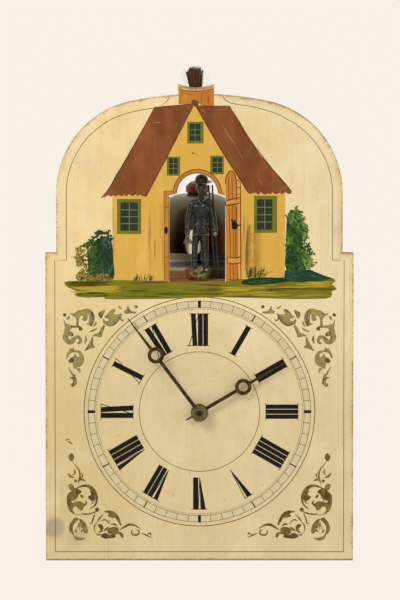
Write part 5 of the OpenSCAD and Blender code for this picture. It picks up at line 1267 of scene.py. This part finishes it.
side_leaves += fringe([(-99.6, 290.9), (-105.9, 288.4), (-110.9, 282.8), (-110.9, 274.7), (-105.9, 266.6),
                       (-110.9, 261.5), (-109.4, 257.4)], 12, (0.1, 0.9))
side_leaves += sprigs([(-111.1, 286.7), (-107.7, 287.9), (-113, 277.7), (-111.9, 274.7), (-109.9, 280.8),
                       (-100.8, 287.9)], 4, (0.0, 0.8), (0.8, 0.8), (1.4, 2.6), (0.7, 1.3))
painted("side_leaves", side_leaves, olive, 0.28, 0.0003)
painted("bush_leaves", leaves, green, 0.3, 0.0004)

# Bell: a cast dome of dark bell metal on an iron post, held down by a small turned knob. Its top is painted
# light grey as a painted highlight, its lower right dark brown as painted shade, and a near white patch at
# the front is a painted reflection of the doorway's light.
bell_metal, sockets, place = finish("bell_metal", Metallic=0.9)
across, depth, height = axes(place)
cloud = noise(place, 55, detail=5.0, rough=0.6)
turned = noise(place, 900, (0.02, 0.02, 1), 2.0, 0.5)
# Painted shade: dark brown on the lower right of the bell.
brown = step(across + height * 0.5, 0.004, 0.016) * step(height, 0.0, 0.03, 1.0, 0.0)
brown = brown * step(depth, -0.078, -0.066, 1.0, 0.0)
# Painted reflection: a near white patch at the front, shinier and less metallic than the rest.
REFLECTION_SPOT, REFLECTION_SHAPE = (-0.0069, -0.085, 0.0012), (1.25, 1.0, 0.8)
squeezed = place.node("VectorMath", {0: place, 1: REFLECTION_SHAPE}, {"operation": "MULTIPLY"})
painted_reflection = step(distance(squeezed, REFLECTION_SPOT) + (cloud - 0.5) * 0.003, 0.0085, 0.0105, 1.0, 0.0)
# Painted highlight: light grey on the top of the dome, going dark below.
colour = mix(step(height + (cloud - 0.5) * 0.012, -0.002, 0.044), ink("261a0c"), ink("66624c"))
colour = coats(colour, (step(cloud, 0.5, 0.72) * 0.4, "2a2118"), (brown * 0.8, "542a0e"), (painted_reflection, "fbf6ec"))
lay(sockets, Base_Color=colour, Metallic=0.9 - 0.2 * painted_reflection,
    Roughness=0.34 + 0.3 * (cloud - 0.5) + 0.1 * (turned - 0.5) - 0.14 * painted_reflection,
    Normal=bump(turned + cloud * 0.4, 0.2, 0.0002))
dress(bell_metal, "bell")
dress(wood("bell_knob_wood", "3a1a08", "7c3e16", "965424", 2, 0.5), "bell_knob")

# Hands: sawn from sheet brass gone brown, with a ring and a point, each pressed on its pipe by a round boss.
# A small six sided nut on the minute pipe holds them.
BOSS_R, TIP_MORE, TIP_EASE = 6.2 * MM, 0.5, 4 * MM
hand_brass, sockets, place = finish("hand_brass", Metallic=1.0)
cloud = noise(place, 220, detail=5.0, rough=0.62)
grime = step(noise(place, 60, detail=6.0, rough=0.7), 0.5, 0.74) * 0.5
flat = place.node("VectorMath", {0: place, 1: (1, 0, 1)}, {"operation": "MULTIPLY"})
centre = distance(flat, (0, 0, FOOT + DIAL * MM))
colour = mix(step(cloud, 0.35, 0.68), ink("2e2410"), ink("574421"))
boss = mix(cloud, ink("645632"), ink("8c7d54"))
colour = coats(mix(step(centre, BOSS_R, BOSS_R + 1.4 * MM, 0.8, 0.0), colour, boss), (grime, "1c130a"))
lay(sockets, Base_Color=colour, Metallic=0.9 - 0.5 * grime,
    Roughness=0.45 + 0.25 * (cloud - 0.5) + 0.25 * grime, Normal=bump(cloud, 0.3, 0.0002))
for node, body, ring in (("minute_hand", "minute", 74.4), ("hour_hand", "hour", 54.0)):
    hand = eased(node, body, hand_brass, 0.35 * MM)
    middle = Vector((0, 0, FOOT + DIAL * MM))
    spots = [Vector((v.co.x, 0, v.co.z)) - middle for v in hand.data.vertices]
    aim = max(spots, key=lambda spot: spot.length).normalized()
    cross = Vector((aim.z, 0, -aim.x))
    for vert, spot in zip(hand.data.vertices, spots):
        out = spot.dot(aim) - ring * MM
        if out > 0:
            vert.co += cross * spot.dot(cross) * min(TIP_MORE, out / TIP_EASE)
nut_brass = metal("nut_brass", "5d5234", "877a52", 0.5, 260, "20150a", 0.5)
eased("hand_nut", "minute", nut_brass, 0.6 * MM)

# Rock under the sweep: a lump of carved wood painted as mossy stone, flat below where the turning wire
# enters.
FIGURE = Vector((-1.9, -116, 271.8 + FOOT / MM)) * MM


def joined(pieces, name):
    """One object of several."""
    bpy.ops.object.select_all(action="DESELECT")
    for piece in pieces:
        piece.select_set(True)
    bpy.context.view_layer.objects.active = pieces[0]
    bpy.ops.object.join()
    whole = bpy.context.active_object
    whole.name = whole.data.name = name
    bpy.ops.object.transform_apply(location=True, rotation=True, scale=True)
    return whole


def ball(x, y, z, rx, ry, rz, turn=(0, 0, 0)):
    """Round lump at a place on the figure."""
    bpy.ops.object.select_all(action="DESELECT")
    spot, turned = FIGURE + Vector((x, y, z)) * MM, [math.radians(a) for a in turn]
    bpy.ops.mesh.primitive_uv_sphere_add(segments=24, ring_count=14, radius=1, location=spot, rotation=turned)
    lump = bpy.context.active_object
    lump.scale = (rx * MM, ry * MM, rz * MM)
    bpy.ops.object.transform_apply(location=True, rotation=True, scale=True)
    return lump


def limb(*stations):
    """Chain of tapered rods with round joints through stations of place and radius."""
    made = []
    for (x0, y0, z0, r0), (x1, y1, z1, r1) in zip(stations, stations[1:]):
        a, b = Vector((x0, y0, z0)), Vector((x1, y1, z1))
        bpy.ops.object.select_all(action="DESELECT")
        bpy.ops.mesh.primitive_cone_add(vertices=20, radius1=r0 * MM, radius2=r1 * MM,
                                        depth=(b - a).length * MM, location=FIGURE + (a + b) / 2 * MM,
                                        rotation=(b - a).to_track_quat("Z", "Y").to_euler())
        made.append(bpy.context.active_object)
        bpy.ops.object.transform_apply(location=True, rotation=True, scale=True)
    made += [ball(x, y, z, r, r, r) for x, y, z, r in stations]
    return made


def carved(pieces, name, voxel, rounds):
    """Lumps carved into one skin, with a wear attribute that is high on raised edges."""
    whole = joined(pieces, name)
    skin = whole.modifiers.new("skin", "REMESH")
    skin.mode, skin.voxel_size = "VOXEL", voxel * MM
    bpy.ops.object.modifier_apply(modifier="skin")
    soft = whole.modifiers.new("soft", "SMOOTH")
    soft.factor, soft.iterations = 0.5, rounds
    bpy.ops.object.modifier_apply(modifier="soft")
    bpy.ops.object.shade_smooth()
    form = bmesh.new()
    form.from_mesh(whole.data)
    wear = form.verts.layers.float.new("wear")
    for vert in form.verts:
        near = [e.other_vert(vert).co for e in vert.link_edges]
        middle = sum(near, Vector()) / len(near)
        vert[wear] = (vert.co - middle).dot(vert.normal) / (voxel * MM)
    form.to_mesh(whole.data)
    form.free()
    return whole


bpy.ops.object.select_all(action="DESELECT")
ROCK_X, ROCK_Y, ROCK_Z, ROCK_DROP, ROCK_FLAT = 11.6, 9.6, 16.6, 5.6, -0.62
bpy.ops.mesh.primitive_ico_sphere_add(subdivisions=6, radius=1, location=(0, 0, 0))
rock = bpy.context.active_object
rock.name = rock.data.name = "mossy_rock"
for vert in rock.data.vertices:
    p = vert.co.copy()
    rough = space_noise.fractal(p * 2.1 + Vector((3, 1, 7)), 0.7, 2.0, 5)
    ledge = space_noise.noise(p * 3.7 + Vector((5, 2, 1)))
    p *= 0.93 + 0.1 * rough + 0.05 * ledge
    p.z = max(min(p.z, -0.08 + 0.16 * rough + 0.06 * ledge), ROCK_FLAT)
    vert.co = FIGURE + Vector((p.x * ROCK_X, p.y * ROCK_Y, p.z * ROCK_Z - ROCK_DROP)) * MM
bpy.ops.object.shade_smooth_by_angle(angle=math.radians(30))
stone, sockets, place = finish("mossy_stone", Coat_Weight=0.15, Coat_Roughness=0.3)
across = axes(place)[0]
cloud = noise(place, 170, detail=6.0, rough=0.65)
grit = noise(place, 900, detail=3.0, rough=0.6)
colour = mix(step(across + (cloud - 0.5) * 0.012, -0.008, 0.002), ink("8e5630"), ink("8c8c4a"))
colour = mix(step(cloud, 0.4, 0.6), ink("3c2c1a"), colour)
colour = coats(colour, (step(grit, 0.62, 0.7) * 0.5, "a8a070"))
lay(sockets, Base_Color=colour, Roughness=0.5 + 0.3 * (grit - 0.5),
    Normal=bump(cloud + grit * 0.5, 0.5, 0.0006))
rock.data.materials.append(stone)
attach(rock, "sweep")
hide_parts("rock_base")

# Sweep: a carved figure in a brimmed hat, belted jacket, trousers and boots, painted nearly black with green
# and brown in it, then varnished. Pale marks on what stands out, heaviest at the sides, are worn paint and
# painted highlight.
# Legs, boots and their tops
body = limb((-3.0, -1.0, -6.5, 2.7), (-2.7, 0.2, 4, 2.7), (-2.3, 0, 16, 3.0), (-0.4, 0.2, 28, 4.0))
body += limb((7.3, -1.0, -6.0, 2.8), (7.0, 0.2, 4, 2.9), (6.6, -0.3, 16, 3.7), (5.8, 0.2, 28, 4.3))
body += [ball(-2.9, -3.4, -6.9, 2.5, 4.4, 2.3, (0, 0, -12)), ball(7.8, -3.2, -6.5, 2.6, 4.4, 2.3, (0, 0, 14))]
body += [ball(-2.8, 0, 1.5, 3.1, 3.1, 1.0), ball(7.1, 0, 1.5, 3.3, 3.3, 1.0)]
# Hips, waist, chest and shoulders
body += [ball(3.1, 0.4, 30, 7.4, 5.2, 6.0), ball(3.3, 0.2, 37, 6.9, 4.9, 8),
         ball(3.5, -0.2, 47, 8.0, 5.5, 10)]
body += [ball(0.4, -3.4, 49.5, 4.2, 2.6, 5.2), ball(6.8, -3.4, 49.5, 4.2, 2.6, 5.2)]
body += limb((-4.4, 0.6, 54.2, 3.3), (3.5, 0.6, 56.0, 3.6), (11.0, 0.6, 55.0, 3.3))
# Arms, hands and cuffs
body += limb((-5.2, 0.4, 53.6, 3.3), (-8.3, 1.2, 39.5, 2.7), (-9.0, -1.6, 26.5, 2.1))
body += limb((11.2, 0.4, 54.2, 3.2), (14.6, 1.6, 41.5, 2.7), (16.4, -1.6, 29.5, 2.2))
body += [ball(-9.0, -2.6, 23.8, 1.9, 2.1, 2.5), ball(16.3, -2.8, 26.4, 2.0, 2.1, 2.5)]
body += [ball(-8.9, -1.2, 27.6, 2.5, 2.5, 0.8, (12, 0, 0)), ball(16.3, -1.3, 30.6, 2.6, 2.6, 0.8, (20, 0, 0))]
# Hem, belt, pouch, buttons, collar and neck
body += [ball(3.2, 0.2, 25.4, 8.2, 5.9, 1.9), ball(3.2, 0.2, 35.2, 7.3, 5.3, 1.2),
         ball(1.6, -5.2, 34.2, 2.6, 1.6, 2.9)]
body += [ball(4.2, -5.3, 32.6, 1.7, 1.0, 1.1)]
body += [ball(4.3, -5.9, z, 0.65, 0.6, 0.65) for z in (38.6, 42.4, 46.4, 50.4)]
body += limb((0.2, -2.4, 57.6, 1.1), (3.5, -4.6, 54.4, 0.9), (7.0, -2.4, 57.6, 1.1))
body += limb((3.6, 0.4, 56, 2.9), (3.75, -0.2, 63, 2.7))
# A plain head, then the hat with its brim and crown
head = [ball(3.75, -0.4, 68.4, 4.7, 5.0, 6.0), ball(3.75, -1.8, 64.6, 3.5, 3.3, 3.4),
        ball(3.75, -3.6, 62.5, 1.5, 1.3, 1.1)]
head += [ball(3.75, -5.9, 66.9, 0.75, 0.95, 0.8), ball(1.9, -4.0, 66.6, 1.3, 1.1, 1.1),
         ball(5.6, -4.0, 66.6, 1.3, 1.1, 1.1)]
head += limb((3.75, -5.1, 69.3, 0.6), (3.75, -5.8, 67.3, 0.75))
head += limb((1.2, -4.3, 70.2, 0.55), (3.0, -5.1, 70.0, 0.55))
head += limb((4.5, -5.1, 70.0, 0.55), (6.3, -4.3, 70.2, 0.55))
head += [ball(2.2, -4.5, 68.7, 0.75, 0.5, 0.55), ball(5.3, -4.5, 68.7, 0.75, 0.5, 0.55)]
head += limb((2.5, -4.85, 64.6, 0.4), (3.75, -5.25, 64.8, 0.5), (5.0, -4.85, 64.6, 0.4))
head += limb((2.9, -4.8, 63.7, 0.42), (4.6, -4.8, 63.7, 0.42))
head += [ball(-0.9, 0.2, 67.8, 0.9, 1.3, 1.8), ball(8.4, 0.2, 67.8, 0.9, 1.3, 1.8)]
head += [ball(3.75, 1.6, 69.5, 5.0, 4.6, 5.2)]
hat = [ball(3.6, -0.4, 73.4, 10.4, 9.0, 0.9, (6, -2, 0)), ball(3.9, 0.2, 75.2, 6.1, 5.9, 5.4),
       ball(3.9, 0.2, 76.2, 5.6, 5.4, 4.4)]
sweep = carved(body + head + hat, "carved_sweep", 0.42, 2)


def above(height, z):
    """One above a level of the figure in millimetres, with a soft edge of one millimetre."""
    return step(height, FIGURE.z + z * MM, FIGURE.z + (z + 1) * MM)


COLLAR, BROW, BRIM = 60.8, 71.8, 72.2
skin, sockets, place = finish("sweep_paint", Coat_Weight=0.22, Coat_Roughness=0.1, Specular_IOR_Level=0.22)
across, height = axes(place)[::2]
wear = layer(place, "wear")
cloud = noise(place, 260, detail=5.0, rough=0.62)
chips = noise(place, 1100, detail=4.0, rough=0.65)
cloth = mix(step(cloud, 0.35, 0.65), ink("0a0e0a"), ink("18211a"))
tan = mix(step(cloud, 0.35, 0.65), ink("1c1710"), ink("332b1e"))
felt = mix(step(cloud, 0.35, 0.6), ink("261a0a"), ink("4c361c"))
face_share = above(height, COLLAR) * (1.0 - above(height, BROW))
colour = mix(above(height, BRIM), mix(face_share, cloth, tan), felt)
# Pale marks on raised edges, heavier at the figure's sides: worn paint and painted highlight.
side_rubs_and_light = step(noise(place, 140, detail=3.0, rough=0.6) + abs(across - 0.0014) * 14.0, 0.52, 0.64)
worn_and_lit = step(wear + (chips - 0.5) * 0.2, 0.02, 0.1) * side_rubs_and_light * (1.0 - 0.8 * face_share)
soles = step(height, FIGURE.z - 2 * MM, FIGURE.z + 2.5 * MM, 1.0, 0.0)
flaked = step(chips, 0.62, 0.68) * side_rubs_and_light
colour = coats(colour, (soles, "171310"), (worn_and_lit * 0.7, "aba488"), (flaked * 0.7, "8c8468"))
lay(sockets, Base_Color=colour, Roughness=0.3 + 0.3 * (cloud - 0.5) + 0.2 * worn_and_lit,
    Normal=bump(cloud + chips * 0.4, 0.3, 0.0003))
sweep.data.materials.append(skin)
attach(sweep, "sweep")
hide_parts("sweep_figure")

# Scraper: a flared sheet iron blade on a short handle, in the sweep's right hand. It is bare iron and turns
# with the figure.
bpy.ops.object.select_all(action="DESELECT")
bpy.ops.mesh.primitive_cube_add(size=1, location=(0, 0, 0))
blade = bpy.context.active_object
for vert in blade.data.vertices:
    wide, forward, up = (9.2, 4.3, 17.4) if vert.co.z < 0 else (5.0, 3.6, 21.6)
    vert.co = FIGURE + Vector((vert.co.x * wide - 8.7, vert.co.y - forward, up)) * MM
blade = joined([blade] + limb((-9.0, -3.0, 25.4, 0.75), (-8.9, -3.5, 20.6, 0.75)), "scraper")
blade.data.materials.append(metal("scraper_iron", "3a352d", "6e675a", 0.45, 300, "1e1a14", 0.5))
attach(blade, "sweep")

# Ladder: round rails and rungs of thin stick, glued up and stained dark. It stands beside the figure and
# turns with it.
dress(wood("ladder_wood", "070504", "120d08", "2a2218", 2, 0.45), "sweep_ladder")

# Brush: a bound tuft of dark bristle, dressed into a spread with a top that drops to the left and a few hairs
# astray. It sits in the cup of the lifting rod and leans a little to the left.
BRUSH = Vector((-3.0, -109, 423.9 + FOOT / MM)) * MM
TUFT_R, TUFT_H, DOME = 4.2, 26.4, 0.6174
hair_verts, hair_faces, hair_tones = [], [], []


def hair(foot, tip, bow, thick, tone):
    """One tapered bristle in four lengths, bowed sideways on the way to its tip."""
    first, rings = len(hair_verts), 5
    for k in range(rings):
        t = k / (rings - 1)
        middle = foot.lerp(tip, t) + bow * (4 * t * (1 - t))
        r = thick * (1 - 0.6 * t)
        for side in range(3):
            a = math.radians(120 * side)
            hair_verts.append(BRUSH + (middle + Vector((r * math.cos(a), r * math.sin(a), 0))) * MM)
            hair_tones.append(tone + 0.35 * t)
    for k in range(rings - 1):
        for side in range(3):
            a, b = first + 3 * k + side, first + 3 * k + (side + 1) % 3
            hair_faces.append((a, b, b + 3, a + 3))
    hair_faces.append((first + 2, first + 1, first))
    last = first + 3 * (rings - 1)
    hair_faces.append((last, last + 1, last + 2))


def seeded(i, count, z):
    """The place of one of many feet, spread evenly over the tuft."""
    r, a = TUFT_R * math.sqrt((i + 0.5) / count), i * GOLDEN_TURN
    return Vector((r * math.cos(a), r * math.sin(a), z))


LOCKS, HAIRS, GOLDEN_TURN = 46, 1300, 2.39996
LOCK_LEAN, LOCK_DROP, GATHER, FLARE, TUFT_LEAN = 0.9, (-3.4, 0.4), 0.6, 1.2, 2.6
SHORT_SHARE, SHORT_BY = 0.25, (2, 11)
locks = []
for i in range(LOCKS):
    lean, drop, tone = dice.gauss(0, LOCK_LEAN), dice.uniform(*LOCK_DROP), dice.uniform(0.0, 0.8)
    locks.append((seeded(i, LOCKS, 0), lean, drop, tone))
for i in range(HAIRS):
    foot = seeded(i, HAIRS, 0.2)
    middle, lean, drop, tone = min(locks, key=lambda lock: (lock[0] - foot).length)
    held = foot.lerp(middle, GATHER)
    top = TUFT_H - DOME * (i + 0.5) / HAIRS + 0.8 * drop - abs(dice.gauss(0, 1.3))
    top -= 0.8 * max(0.0, -0.5 - held.x)
    top -= dice.uniform(*SHORT_BY) if dice.random() < SHORT_SHARE else 0.0
    reach = top / TUFT_H
    tip_x = held.x * (1 + FLARE * reach) - TUFT_LEAN * reach + lean + dice.gauss(0, 0.5)
    tip = Vector((tip_x, held.y * 1.3 + dice.gauss(0, 0.5), top))
    bow = Vector((dice.gauss(0, 0.4) - 0.06 * foot.x, dice.gauss(0, 0.4) - 0.05 * foot.y, 0))
    hair(foot, tip, bow, dice.uniform(0.12, 0.2), tone * 1.15 + dice.uniform(-0.15, 0.25))
STRAYS = ((-13.0, 21.6, -1.2), (-11.9, 23.4, -0.6), (-12.6, 17.8, -0.9), (12.4, 22.0, 2.0), (10.0, 19.0, 1.6),
          (8.7, 24.2, 0.6), (-8.8, 27.9, -0.3), (5.8, 26.9, 0.4), (-10.6, 25.0, -0.5))
for x, top, bow in STRAYS:
    foot, tip = Vector((0.36 * x, dice.uniform(-3, 3), 0.2)), Vector((x, dice.uniform(-4, 4), top))
    hair(foot, tip, Vector((bow, 0, 0)), 0.14, 0.5)
tuft = bpy.data.meshes.new("bristles")
tuft.from_pydata(hair_verts, [], hair_faces)
tuft.attributes.new("tone", "FLOAT", "POINT").data.foreach_set("value", hair_tones)
bristles = bpy.data.objects.new("bristles", tuft)
scene.collection.objects.link(bristles)
bristle, sockets, place = finish("bristle", Specular_IOR_Level=0.3)
grain = noise(place, 900, (1, 1, 0.2), 3.0, 0.6)
shades = step(layer(place, "tone") + (grain - 0.5) * 0.4, 0.1, 0.95)
lay(sockets, Base_Color=mix(shades, ink("170d08"), ink("6d4f3a")), Roughness=0.55 + 0.3 * (grain - 0.5))
tuft.materials.append(bristle)
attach(bristles, "brush")
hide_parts("chimney_brush")
